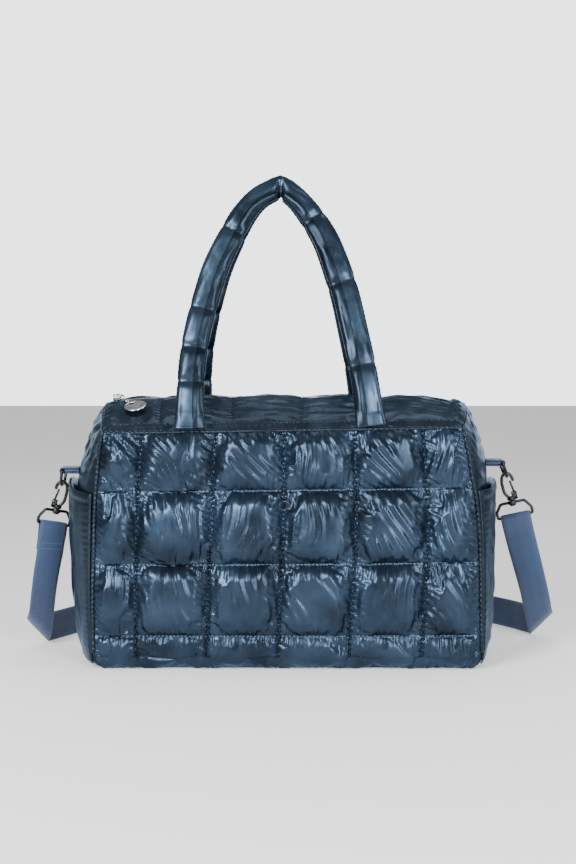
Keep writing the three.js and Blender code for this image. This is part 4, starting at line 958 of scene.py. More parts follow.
def catmull(points, per=20):
    """Dense centripetal curve through points."""
    points = np.asarray(points, float)
    whole = np.concatenate([[2 * points[0] - points[1]], points, [2 * points[-1] - points[-2]]])
    out = []
    for i in range(1, len(whole) - 2):
        p0, p1, p2, p3 = whole[i - 1:i + 3]
        d0, d1, d2 = (np.linalg.norm(b - a) ** 0.5 for a, b in ((p0, p1), (p1, p2), (p2, p3)))
        t1 = ((p1 - p0) / d0 - (p2 - p0) / (d0 + d1) + (p2 - p1) / d1) * d1
        t2 = ((p2 - p1) / d1 - (p3 - p1) / (d1 + d2) + (p3 - p2) / d2) * d1
        for k in range(per):
            t = k / per
            out.append(p1 + t1 * t + (-3 * p1 + 3 * p2 - 2 * t1 - t2) * t * t
                       + (2 * p1 - 2 * p2 + t1 + t2) * t ** 3)
    out.append(points[-1])
    return np.array(out)


def resampled(curve, shares):
    lengths = np.concatenate([[0], np.cumsum(np.linalg.norm(np.diff(curve, axis=0), axis=1))])
    at = np.asarray(shares) * lengths[-1]
    return np.stack([np.interp(at, lengths, curve[:, k]) for k in range(3)], axis=1), lengths[-1]


def handle_line(name, toward):
    foot = top_seam(width_share(HANDLE_SPREAD * HANDLE_ROWS[0][name])) + 1.6
    peak = (TOP_SEAM_LEFT + TOP_SEAM_RIGHT) / 2 + HANDLE_RISE
    points = []
    for row in HANDLE_ROWS:
        near = TOP_DEPTH / 2 + HANDLE_SEAT - (HANDLE_LEAN + HANDLE_SEAT) * row["rise"]
        y = toward * max(near, HANDLE_THICK / 2 + GAP)
        points.append((HANDLE_SPREAD * row[name], y, lerp(foot, peak, row["rise"])))
    return catmull(points)


def handle_piece(facing):
    toward = -1 if facing == "front" else 1
    face = unit([0, toward * HANDLE_RISE, HANDLE_LEAN])
    count, corners = HANDLE_GRID
    seed = 600 if facing == "front" else 660
    turns = (np.arange(corners) + 0.5) / corners * 2 * math.pi
    c, s = np.cos(turns), np.sin(turns)
    flat = np.sign(c) * np.abs(c) ** 0.72
    round_ = np.sign(s) * np.abs(s) ** 0.85
    edge = np.exp(-((np.abs(c) - 1) / 0.02) ** 2)
    rings = []
    for leg in ("left", "right"):
        shares = np.linspace(0, 1, count)
        centers, length = resampled(handle_line(leg, toward), shares)
        ahead = unit(np.gradient(centers, axis=0))
        out = np.cross(face, ahead) if leg == "left" else np.cross(ahead, face)
        out = unit(out) * (-toward)
        rise = np.clip((centers[:, 2] - TOP_SEAM_LEFT) / HANDLE_RISE, 0, 1)
        width = HANDLE_WIDTH * table_value(HANDLE_ROWS, "rise", "width", rise)
        thick = HANDLE_THICK * table_value(HANDLE_ROWS, "rise", "thick", rise)
        seams = HANDLE_SEAMS[leg]
        gap = np.min([np.abs(shares - seam) for seam in seams[1:]], axis=0) * length
        cell, t = cell_shares(shares, (0, *seams))
        swell = 0.80 + 0.20 * pillow(t)
        peak = smoothstep(shares, 0.955, 1.0)
        rows = []
        for i in range(count):
            side = unit(lerp(out[i], np.array([0, 0, 1.0]), peak[i]))
            w = width[i] * (1 - 0.06 * math.exp(-(gap[i] / 4) ** 2)) / 2
            h = thick[i] * swell[i] * (1 - 0.30 * math.exp(-(gap[i] / 4.5) ** 2)) / 2
            along = shares[i] * length
            pleat_seed = seed + int(cell[i]) + (40 if leg == "left" else 80)
            pleat = gathers(np.arange(corners) * 2.6, pleat_seed, 5.6)
            pucker = 0.8 * pleat * math.exp(-gap[i] / 6) * (thick[i] / HANDLE_THICK)
            run = waves(flat * w, np.full(corners, along), seed + 7, 8, 6, 0.12, 0.3)
            run = 0.95 * run * (1 - math.exp(-gap[i] / 8)) * (thick[i] / HANDLE_THICK)
            pipe = 0.5 * edge * (1 + 0.6 * math.sin(2 * math.pi * along / 5.2 + 2 * math.sin(along / 17)))
            swept = centers[i] + side * ((flat * (w + pipe * 0.6))[:, None])
            rows.append(swept + face * ((round_ * h + np.sign(s) * np.abs(s) * (pucker + run))[:, None]))
        rings.append(rows)
    grid = np.array(rings[0] + rings[1][:-1][::-1])
    faces = grid_faces(len(grid), corners, closed_columns=True)
    if toward > 0:
        faces = [f[::-1] for f in faces]
    faces.append(tuple(range(corners)))
    faces.append(tuple((len(grid) - 1) * corners + j for j in range(corners)))
    plan = strip_plan(np.arange(len(grid)) * 1.7, np.arange(corners) * 2.7)
    piece = new_object(facing + "_handle", grid.reshape(-1, 3), faces, plan)
    dress(piece, nylon_handle_painted_light, replaces=["handle_" + facing])
    # The inner half of each handle gets the darker nylon copy: painted shade
    piece.data.materials.append(nylon_inner_painted_shade)
    inside = 1 if grid[20, 0, 0] > grid[20, corners // 2, 0] else -1
    split = inside * flat
    for polygon in piece.data.polygons:
        if polygon.loop_total == 4:
            j = min(polygon.vertices[k] % corners for k in range(4))
            if max(polygon.vertices[k] % corners for k in range(4)) - j < 2 and split[j] > 0.0:
                polygon.material_index = 1
    for sign, label in ((1, "outer"), (-1, "back")):
        picks = [j for j in range(corners) if s[j] * sign > 0.5]
        j = min(picks, key=lambda k: abs(split[k] - 0.05))
        line = grid[6:-6, j]
        spots = along_lines([line], EDGE_BEAD_PITCH, np.random.default_rng(seed + 3), 0.1)
        name = "%s_handle_%s_edge" % (facing, label)
        bumps = beads(name, spots, [face * sign] * len(spots), EDGE_BEAD_SIZE)
        dress(bumps, nylon_seam_painted_shade)


for facing in ("front", "rear"):
    handle_piece(facing)


# Wires and turned pieces

def wire_grid(points, ahead, side, radii, sides):
    """Rings of points round a line, square to the way ahead."""
    out = unit(np.cross(side, ahead))
    turns = ((np.arange(sides) + 0.5) / sides * 2 * math.pi)[None, :, None]
    return points[:, None, :] + radii * (out[:, None, :] * np.cos(turns) + np.asarray(side) * np.sin(turns))


class Parts:
    """Several closed meshes gathered into one object."""

    def __init__(self):
        self.points = []
        self.faces = []

    def add(self, points, faces):
        start = len(self.points)
        self.points += [list(p) for p in np.asarray(points).reshape(-1, 3)]
        self.faces += [tuple(start + i for i in face) for face in faces]

    def ring(self, points, side, radius, sides=14):
        points = np.asarray(points, float)
        ahead = unit(np.roll(points, -1, axis=0) - np.roll(points, 1, axis=0))
        grid = wire_grid(points, ahead, unit(side), radius, sides)
        self.add(grid, grid_faces(len(grid), sides, True, True))

    def tube(self, points, side, radii, sides=14):
        ahead = unit(np.gradient(points, axis=0))
        grid = wire_grid(points, ahead, side, radii[:, None, None], sides)
        self.add(grid, tube_faces(len(grid), sides))

    def turned(self, profile, origin, axes, sides=28, hole=False):
        """Solid of revolution about the third axis from rows of (radius, height)."""
        out, side, up = axes
        turns = np.arange(sides) / sides * 2 * math.pi
        grid = np.array([[origin + out * r * math.cos(t) + side * r * math.sin(t) + up * h for t in turns]
                         for r, h in profile])
        count = len(profile)
        faces = grid_faces(count, sides, True, True) if hole else tube_faces(count, sides, turned=True)
        self.add(grid, faces)

    def box(self, center, size, axes, cut=0.25):
        """Box with bevelled edges."""
        out, side, up = axes
        half = np.asarray(size) / 2
        cut = min(cut, *(half * 0.45))
        rows = []
        for z, shrink in ((-half[2], cut), (-half[2] + cut, 0), (half[2] - cut, 0), (half[2], cut)):
            a, b = half[0] - shrink, half[1] - shrink
            k = cut * 0.7
            ring = ((-a + k, -b), (a - k, -b), (a, -b + k), (a, b - k), (a - k, b), (-a + k, b), (-a, b - k),
                    (-a, -b + k))
            rows.append([center + out * x + side * y + up * z for x, y in ring])
        self.add(rows, tube_faces(len(rows), len(ring), turned=True))

    def object(self, name, smooth=True):
        points = np.array(self.points)
        return new_object(name, points, self.faces, points[:, :2], smooth)


# Zip, slider, chain and disc

def teeth_top(x):
    return ridge(width_share(x)) - WALL + TAPE_THICK + TEETH_HEIGHT


def zip_edge(name):
    return SIDES[name] * (seam_x(name, 1) + bulge_x(name, 1) * arch(0) - WALL - 2 * GAP)


def zip_pieces():
    half = HALF_ZIP - GAP
    x = np.linspace(zip_edge("left"), zip_edge("right"), 180)
    share = (x - x[0]) / (x[-1] - x[0])
    low = ridge(share) - WALL
    section = ((-half, 0), (-half, TAPE_THICK), (-1.1, TAPE_THICK + 0.3), (0, TAPE_THICK + 0.05),
               (1.1, TAPE_THICK + 0.3), (half, TAPE_THICK), (half, 0))
    grid = np.array([[(xi, y, zi + h) for y, h in section] for xi, zi in zip(x, low)])
    tape = new_object("zip_cloth", grid.reshape(-1, 3), tube_faces(len(grid), len(section)),
                      strip_plan(x, [p[0] for p in section]))
    dress(tape, tape_cloth, replaces=["zip_tape"])
    teeth = Parts()
    margin = 5
    for i in range(int((x[-1] - x[0] - 2 * margin) / TEETH_PITCH)):
        at = x[0] + margin + i * TEETH_PITCH
        for half_step, side in ((0, -1), (TEETH_PITCH / 2, 1)):
            here = at + half_step
            top = teeth_top(here) - TEETH_HEIGHT / 2
            center = np.array([here, side * TEETH_WIDTH * 0.2, top])
            teeth.box(center, (TEETH_PITCH * 0.42, TEETH_WIDTH * 0.62, TEETH_HEIGHT), np.eye(3), 0.3)
    dress(teeth.object("zip_teeth"), bright)


zip_pieces()

slider_x = -(seam_x("left", 1) + bulge_x("left", 1) - WALL) + SLIDER_INSET
slider_ends = (slider_x - SLIDER_LENGTH / 2, slider_x + SLIDER_LENGTH / 2)
slider_along = unit([SLIDER_LENGTH, 0, teeth_top(slider_ends[1]) - teeth_top(slider_ends[0])])
slider_up = np.cross(slider_along, [0, 1, 0])
slider_at = np.array([slider_x, 0, (teeth_top(slider_ends[0]) + teeth_top(slider_ends[1])) / 2 + 3 * GAP])
bridge_length = SLIDER_LENGTH * 0.8
disc_share = width_share(DISC_PLACE[0])
disc_at = np.array([*DISC_PLACE, roof_height(disc_share, abs(DISC_PLACE[1]) / (TOP_DEPTH / 2))])
lean = -math.radians(DISC_LEAN)
tilt = math.atan2(ridge(disc_share) - top_seam(disc_share), TOP_DEPTH / 2 - HALF_ZIP)
disc_up = np.array([math.sin(lean), 0, math.cos(lean)])
disc_up = np.array([disc_up[0], -disc_up[2] * math.sin(tilt), disc_up[2] * math.cos(tilt)])
disc_at = disc_at + disc_up * DISC_CLEAR
link_step = PULL_WIRE + GAP
ring_round = (PULL_RING - PULL_WIRE) / 2
bridge_leg = (slider_at + slider_along * (bridge_length - BRIDGE_BAR) / 2
              + slider_up * (SLIDER_HEIGHT + (BRIDGE_LIFT - BRIDGE_BAR) / 2))
ring_ahead = disc_at - bridge_leg
ring_ahead = unit(ring_ahead * [1, 1, 0])
pull_ring_at = bridge_leg + ring_ahead * (ring_round - link_step - BRIDGE_BAR / 2)
disc_ahead = -ring_ahead
disc_ahead = unit(disc_ahead - disc_up * np.dot(disc_ahead, disc_up))
hole_at = disc_at + disc_ahead * ((DISC_SIZE - DISC_HOLE) / 2 - BRIDGE_BAR)


def slider_piece():
    axes = (slider_along, np.array([0, 1.0, 0]), slider_up)
    parts = Parts()
    center = slider_at + slider_up * SLIDER_HEIGHT / 2
    parts.box(center, (SLIDER_LENGTH, SLIDER_WIDTH, SLIDER_HEIGHT), axes, 0.7)
    base = slider_at + slider_up * SLIDER_HEIGHT
    for end in (-1, 1):
        leg = base + slider_along * end * (bridge_length - BRIDGE_BAR) / 2 + slider_up * BRIDGE_LIFT / 2
        parts.box(leg, (BRIDGE_BAR, BRIDGE_WIDTH, BRIDGE_LIFT), axes, 0.3)
    top = base + slider_up * (BRIDGE_LIFT - BRIDGE_BAR / 2)
    parts.box(top, (bridge_length, BRIDGE_WIDTH, BRIDGE_BAR), axes, 0.3)
    dress(parts.object("slider_body", False), bright, replaces=["zip_slider"])


def disc_piece():
    across = np.cross(disc_up, disc_ahead)
    parts = Parts()
    half, radius = DISC_THICK / 2, DISC_SIZE / 2
    hole = DISC_HOLE / 2
    sides, steps = 56, 9
    turns = np.arange(sides) / sides * 2 * math.pi
    shift = hole_at - disc_at
    rows = []
    for share, h in [(0, -half + 0.35), (0.02, -half)] + [(i / steps, -half) for i in range(1, steps + 1)]:
        rows.append((share, h))
    rows += [(1.0, half)] + [(i / steps, half) for i in reversed(range(1, steps))] + [(0.02, half)]
    rows += [(0, half - 0.35)]
    grid = []
    for share, h in rows:
        center = disc_at + shift * share
        size = lerp(radius, hole, share)
        dish = -0.25 * math.sin(math.pi * share) if h > 0 else 0
        grid.append([center + (disc_ahead * math.cos(t) + across * math.sin(t)) * size + disc_up * (h + dish)
                     for t in turns])
    parts.add(grid, grid_faces(len(grid), sides, True, True))
    dress(parts.object("disc_body"), bright, replaces=["pull_disc"])


def oval(center, ahead, across, length, width, thick, count=36):
    straight, round_ = (length - width) / 2, (width - thick) / 2
    turns = (np.arange(count) + 0.5) / count * 2 * math.pi
    return np.array([center + ahead * (round_ * math.cos(t) + math.copysign(straight, math.cos(t)))
                     + across * round_ * math.sin(t) for t in turns])


def chain_pieces():
    start = pull_ring_at + ring_ahead * (ring_round - link_step)
    end = hole_at + disc_ahead * (DISC_HOLE / 2 - PULL_WIRE / 2 - 2.5 * GAP)
    reach = np.linalg.norm(end - start)
    ahead = unit(end - start)
    level = unit([-ahead[1], ahead[0], 0])
    upright = unit(np.cross(level, ahead))
    middle = (reach + (LINK_COUNT - 1) * link_step) / LINK_COUNT
    flat = np.array([-ring_ahead[1], ring_ahead[0], 0])
    parts = Parts()
    line = oval(pull_ring_at, ring_ahead, flat, PULL_RING, PULL_RING, PULL_WIRE)
    parts.ring(line, np.cross(ring_ahead, flat), PULL_WIRE / 2, 12)
    dress(parts.object("ring_wire"), bright, replaces=["pull_ring"])
    for i in range(LINK_COUNT):
        center = start + ahead * (i * (middle - link_step) + middle / 2)
        across = upright if i % 2 == 0 else level
        parts = Parts()
        line = oval(center, ahead, across, middle + PULL_WIRE, LINK_WIDTH, PULL_WIRE)
        parts.ring(line, np.cross(ahead, across), PULL_WIRE / 2, 12)
        name = "pull_link_%d" % (i + 1)
        dress(parts.object("wire_" + name), bright, replaces=[name])


slider_piece()
disc_piece()
chain_pieces()


# Clips: tab, ring, hook, gate and strap loop on each side

def rotated(v, axis, angle):
    v, axis = np.asarray(v, float), unit(axis)
    return (v * math.cos(angle) + np.cross(axis, v) * math.sin(angle)
            + axis * np.dot(axis, v) * (1 - math.cos(angle)))


def clip_frame(name):
    row = CLIP_ROWS[name]
    side = row["side"]
    root = gusset_point(name, 0.0, math.pi / 2, row["up"])
    root[0] += side * (GUSSET_PAD * float(pillow(row["up"])) + 2 * GAP)
    tilt = math.radians(CLIP_TILT)
    up = np.array([-side * math.sin(tilt), 0, math.cos(tilt)])
    out = np.array([side * math.cos(tilt), 0, math.sin(tilt)])
    across = np.cross(up, out)
    radius = WIRE / 2
    ring_bar = root + [side * (TAB_REACH - radius - GAP - STRAP_THICK), 0, 0]
    lean = math.radians(row["lean"])
    hang = np.array([side * math.sin(lean), 0, -math.cos(lean)])
    origin = ring_bar + hang * RING_DROP - up * (HOOK_HEIGHT - HOOK_WIRE / 2 - radius - GAP)
    loop_top = origin - up * (EYE_HEIGHT / 2 + GAP)
    turned = rotated(out * side, up, math.radians(row["yaw"]))
    return {"name": name, "side": side, "root": root, "ring_bar": ring_bar, "hang": hang,
            "up": up, "out": out, "across": across, "origin": origin, "loop_top": loop_top,
            "bar": loop_top - up * LOOP_DROP, "bar_side": turned}


clips = {name: clip_frame(name) for name in SIDES}


def tab_piece(clip):
    bend = WIRE / 2 + GAP + STRAP_THICK / 2
    center = TAB_REACH - bend - STRAP_THICK / 2
    side = np.array([clip["side"], 0, 0.0])
    path = [(0, -bend), (center / 2, -bend)]
    turns = np.linspace(-math.pi / 2, math.pi / 2, 15)
    path += [(center + bend * math.cos(a), bend * math.sin(a)) for a in turns]
    path += [(center / 2, bend), (0, bend)]
    path = resampled(catmull([(x, 0, z) for x, z in path], 4), np.linspace(0, 1, 60))[0]
    normal = unit(np.cross(np.gradient(path, axis=0), [0, 1, 0]))
    across = np.linspace(-TAB_WIDTH / 2, TAB_WIDTH / 2, 13)
    swell = (1 - (np.abs(across) / (TAB_WIDTH / 2)) ** 6) * 0.5 + 0.5

    def layer(p, n, face):
        lift = [face * n * STRAP_THICK / 2 * w for w in swell]
        return [clip["root"] + side * (p[0] + h[0]) + np.array([0, y, p[2] + h[2]])
                for y, h in zip(across, lift)]

    wide = np.concatenate([across, across[::-1]])
    count = len(wide)
    grid = np.array([layer(p, n, 1) + layer(p, n, -1)[::-1] for p, n in zip(path, normal)])
    piece = new_object(clip["name"] + "_tab", grid.reshape(-1, 3), grid_faces(len(grid), count, False, True),
                       strip_plan(np.linspace(0, 60, len(grid)), wide))
    dress(piece, webbing, replaces=["tab_" + clip["name"]])
    # Turned-in ends of the tab between its two layers
    reach = np.linspace(0.3, center - WIRE / 2 - 0.6, 12)
    half = (bend - STRAP_THICK / 2) * swell * 0.96
    high = np.concatenate([half, -half[::-1]])
    rows = np.array([clip["root"] + side * x + stack(0, wide * 0.985, high) for x in reach])
    ends = new_object(clip["name"] + "_tab_ends", rows.reshape(-1, 3), tube_faces(len(rows), count),
                      strip_plan(reach, wide))
    dress(ends, webbing)


def d_ring_piece(clip):
    half = (RING_WIDTH - WIRE) / 2
    turns = np.linspace(0, math.pi, 61)
    bow = [clip["ring_bar"] + clip["hang"] * RING_DROP * abs(math.sin(t)) ** 0.8
           + np.array([0, half * math.copysign(abs(math.cos(t)) ** 0.5, math.cos(t)), 0]) for t in turns]
    bar = [clip["ring_bar"] + np.array([0, y, 0]) for y in np.linspace(-half, half, 14)[1:-1]]
    line = resampled(np.array(bow + bar + [bow[0]]), np.linspace(0, 1, 90))[0][:-1]
    parts = Parts()
    parts.ring(line, np.cross([0, 1, 0], clip["hang"]), WIRE / 2, 16)
    dress(parts.object(clip["name"] + "_ring_wire"), black, replaces=["d_ring_" + clip["name"]])


def hook_piece(clip):
    out, across, up, origin = clip["out"], clip["across"], clip["up"], clip["origin"]
    axes = (out, across, up)
    parts = Parts()
    line = catmull([(HOOK_WIDTH * o, 0, HOOK_HEIGHT * u) for o, u in HOOK_ROWS], 8)
    line = np.array([origin + out * p[0] + up * p[2] for p in line])
    share = np.linspace(0, 1, len(line))
    radii = HOOK_WIRE / 2 * (1 - 0.2 * smoothstep(share, 0.94, 1.0))
    parts.tube(line, across, radii, 16)
    collar = COLLAR_SIZE / 2
    parts.turned(((2.6, 0), (4.0, 0.2), (collar, 0.9), (collar, 3.1), (4.0, 3.8), (2.4, 4.6)), origin, axes)
    low = -EYE_HEIGHT - 2 * GAP
    parts.turned(((STEM_SIZE / 2, low - 0.2), (STEM_SIZE / 2, 0.5)), origin, axes)
    parts.turned(((2.0, low - 1.7), (STEM_HEAD / 2, low - 1.2), (STEM_HEAD / 2, low)), origin, axes)
    pivot = np.array([HOOK_WIDTH * GATE_PIVOT[0], 0, HOOK_HEIGHT * GATE_PIVOT[1]])
    bottom, top = COLLAR_HEIGHT / 4, pivot[2] + CHEEK_LENGTH / 2
    cheek = GATE_WIDTH / 2 + GAP + CHEEK_THICK / 2
    for sign in (-1, 1):
        center = origin + out * (pivot[0] - PIN_SIZE / 2) + across * sign * cheek + up * (bottom + top) / 2
        parts.box(center, (CHEEK_LENGTH, CHEEK_THICK, top - bottom), axes, 0.45)
    pin = origin + out * pivot[0] + up * pivot[2]
    parts.turned(((PIN_SIZE / 2, -cheek - 0.9), (PIN_SIZE / 2, cheek + 0.9)), pin, (up, out, across), 16)
    center = origin + out * SEAT_REACH / 2 + up * COLLAR_HEIGHT / 2
    parts.box(center, (SEAT_REACH, 2 * cheek + CHEEK_THICK, COLLAR_HEIGHT * 0.75), axes, 0.5)
    name = "hook_" + clip["name"]
    dress(parts.object(name + "_body"), black, name, replaces=[name])


def gate_piece(clip):
    out, across, up, origin = clip["out"], clip["across"], clip["up"], clip["origin"]
    pivot = np.array([HOOK_WIDTH * GATE_PIVOT[0], HOOK_HEIGHT * GATE_PIVOT[1]])
    tip = np.array([HOOK_WIDTH * GATE_TIP[0], HOOK_HEIGHT * GATE_TIP[1]])
    length = np.linalg.norm(tip - pivot)
    ahead = (out * (tip[0] - pivot[0]) + up * (tip[1] - pivot[1])) / length
    thick = np.cross(across, ahead)
    foot = origin + out * pivot[0] + up * pivot[1]
    parts = Parts()
    parts.box(foot + ahead * (length / 2 + 0.9), (GATE_THICK, GATE_WIDTH, length - 1.8),
              (thick, across, ahead), 0.5)
    outer, inner = PIN_SIZE / 2 + 1.1, PIN_SIZE / 2 + GAP
    half = GATE_WIDTH / 2
    profile = ((inner, -half), (outer, -half), (outer, half), (inner, half))
    parts.turned(profile, foot, (up, out, across), 20, True)
    name = "gate_" + clip["name"]
    dress(parts.object(name + "_leaf"), black, name, replaces=[name])


def strap_loop_piece(clip):
    half = (STRAP_WIDTH + WIRE) / 2 + LOOP_SLACK
    corners = ((-half, -LOOP_DROP), (half, -LOOP_DROP), (half, -LOOP_DROP * 0.55), (half - LOOP_SHOULDER, 0),
               (LOOP_SHOULDER, 0), (-LOOP_SHOULDER, 0), (LOOP_SHOULDER - half, 0), (-half, -LOOP_DROP * 0.55))
    points = np.array([clip["loop_top"] + clip["bar_side"] * x + clip["up"] * z for x, z in corners])
    dense = []
    for i, p in enumerate(points):
        before, after = points[i - 1], points[(i + 1) % len(points)]
        first = p + unit(before - p) * min(LOOP_ROUND, np.linalg.norm(before - p) * 0.4)
        last = p + unit(after - p) * min(LOOP_ROUND, np.linalg.norm(after - p) * 0.4)
        for t in np.linspace(0, 1, 6):
            dense.append(first * (1 - t) ** 2 + 2 * p * t * (1 - t) + last * t * t)
    forward = np.cross(clip["up"], clip["bar_side"])
    parts = Parts()
    parts.ring(dense, forward, WIRE / 2, 16)
    outer, inner, tall = EYE_SIZE / 2, STEM_SIZE / 2 + GAP, EYE_HEIGHT / 2
    profile = ((inner, -tall), (outer - 0.6, -tall), (outer, -tall + 0.6), (outer, tall - 0.6),
               (outer - 0.6, tall), (inner, tall))
    parts.turned(profile, clip["loop_top"], (clip["bar_side"], forward, clip["up"]), 28, True)
    name = "strap_loop_" + clip["name"]
    dress(parts.object(name + "_wire"), black, replaces=[name])


for clip in clips.values():
    tab_piece(clip)
    d_ring_piece(clip)
    hook_piece(clip)
    gate_piece(clip)
    strap_loop_piece(clip)


# Shoulder strap

FLOOR_MIDDLE = FLOOR_GAP + STRAP_WIDTH / 2
BAR_OFFSET = WIRE / 2 + GAP + STRAP_THICK / 2
CLOSE_OFFSET = STRAP_THICK / 2 + GAP


class StrapEnd:
    """One hanging end of the strap: folded up from the floor and turned to end square on its loop's bar."""

    def __init__(self, name):
        row = CLIP_ROWS[name]
        side = row["side"]
        self.clip = clips[name]
        turn = math.radians(row["heading"])
        self.start = np.array([HALF_WIDTH * row["foldX"], HALF_WIDTH * row["foldY"], FLOOR_MIDDLE])
        self.run = np.array([side * math.cos(turn), -math.sin(turn), 0])
        rise = unit(self.clip["bar"] - self.start)
        along = float(np.dot(rise, self.run))
        self.skew = math.atan2(rise[2], 1 - along)
        s, c = math.sin(self.skew), math.cos(self.skew)
        self.angle = math.acos(min(max((along - s * s) / (c * c), -1), 1))
        face = np.array([self.run[1], -self.run[0], 0])
        self.face = face if np.dot(face, rise) >= 0 else -face
        self.axis = np.array([0, 0, c]) + self.run * s
        self.ahead = self.run * c + np.array([0, 0, -s])
        self.bend_length = FOLD_RADIUS * self.angle / c
        rest = self.clip["bar"] - self.fold(self.bend_length, 0)[0]
        self.length = self.bend_length + float(np.linalg.norm(rest))

    def fold(self, a, b):
        s, c = math.sin(self.skew), math.cos(self.skew)
        m, along = a * c - b * s, a * s + b * c
        bend = min(max(m / FOLD_RADIUS, 0), self.angle)
        past = m - bend * FOLD_RADIUS
        sb, cb = math.sin(bend), math.cos(bend)
        point = (self.start + self.axis * along + self.ahead * (FOLD_RADIUS * sb + past * cb)
                 + self.face * (FOLD_RADIUS * (1 - cb) + past * sb))
        return point, self.face * cb - self.ahead * sb

    def hang(self, a, b):
        straight = self.bend_length + HANG_EASE
        t = float(smoothstep(a, straight, self.length))
        if t == 0:
            return self.fold(a, b)
        middle, normal = self.fold(a, 0)
        last = self.fold(self.length, 0)[0]
        shift = (self.clip["bar"] - last) * t
        across = unit(self.fold(self.length, 1)[0] - last)
        bar_side = self.clip["bar_side"]
        if np.dot(bar_side, across) < 0:
            bar_side = -bar_side
        turned = unit(lerp(across, bar_side, t))
        ahead = self.fold(a + 1, 0)[0] - middle
        square = unit(np.cross(turned, ahead))
        if np.dot(square, normal) < 0:
            square = -square
        return middle + shift + turned * b, square

    def stations(self, fine=5):
        lean = math.tan(self.skew)

        def stretch(low, high, steps, first, lean_at, drop_last=False):
            steps *= fine
            rows = []
            for i in range(first, steps + 1 - (1 if drop_last else 0)):
                rows.append((lerp(low, high, i / steps), lean * lean_at(i / steps)))
            return rows
        rows = stretch(self.length, self.bend_length + FOLD_EASE, 7, 0, lambda t: 0)
        rows += stretch(self.bend_length + FOLD_EASE, self.bend_length, 3, 1, lambda t: t, True)
        rows += stretch(self.bend_length, 0, 7, 0, lambda t: 1)
        rows += stretch(0, -FOLD_EASE, 2, 1, lambda t: 1 - t)
        return [(self.length - a, lambda b, a=a, tan=tan: self.hang(a + b * tan, b)) for a, tan in rows]


def layer_offset(distance, close):
    return lerp(BAR_OFFSET, close, float(smoothstep(distance, *LAYER_EASE)))


ACROSS = np.linspace(-STRAP_WIDTH / 2, STRAP_WIDTH / 2, 9)
EDGE_SWELL = np.array([0.35, 0.95, 1, 1, 1, 1, 1, 0.95, 0.35])


def strap_ring(edge, offset, facing=1):
    outer, inner = [], []
    for b, w in zip(ACROSS, EDGE_SWELL):
        point, normal = edge(b)
        outer.append(point + normal * (offset + facing * w * STRAP_THICK / 2))
        inner.append(point + normal * (offset - facing * w * STRAP_THICK / 2))
    return outer + inner[::-1]


def bar_turn(end):
    normal = end.hang(end.length, 0)[1]
    before = end.hang(end.length - 1, 0)[0]
    ahead = unit(end.clip["bar"] - before)
    rings = []
    steps = 16
    for i in range(1, steps):
        angle = i / steps * math.pi
        side = -normal * math.cos(angle) + ahead * math.sin(angle)
        rings.append(strap_ring(lambda b: (end.hang(end.length, b)[0] + side * BAR_OFFSET, side), 0))
    return rings


def row_offset(rows, at, outside):
    along = at / SLIDER_PITCH
    if along < rows[0][0] or along >= rows[-1][0]:
        return outside
    return STRAP_THICK * float(np.interp(along, [r[0] for r in rows], [r[1] for r in rows]))


def floor_curve(ends):
    def lead(end):
        return [end.start - end.run * back for back in FLOOR_LEAD]
    plan = [np.array([HALF_WIDTH * x, HALF_WIDTH * y, FLOOR_MIDDLE]) for x, y in FLOOR_RUN]
    return catmull(lead(ends["left"]) + plan + lead(ends["right"])[::-1], 40)


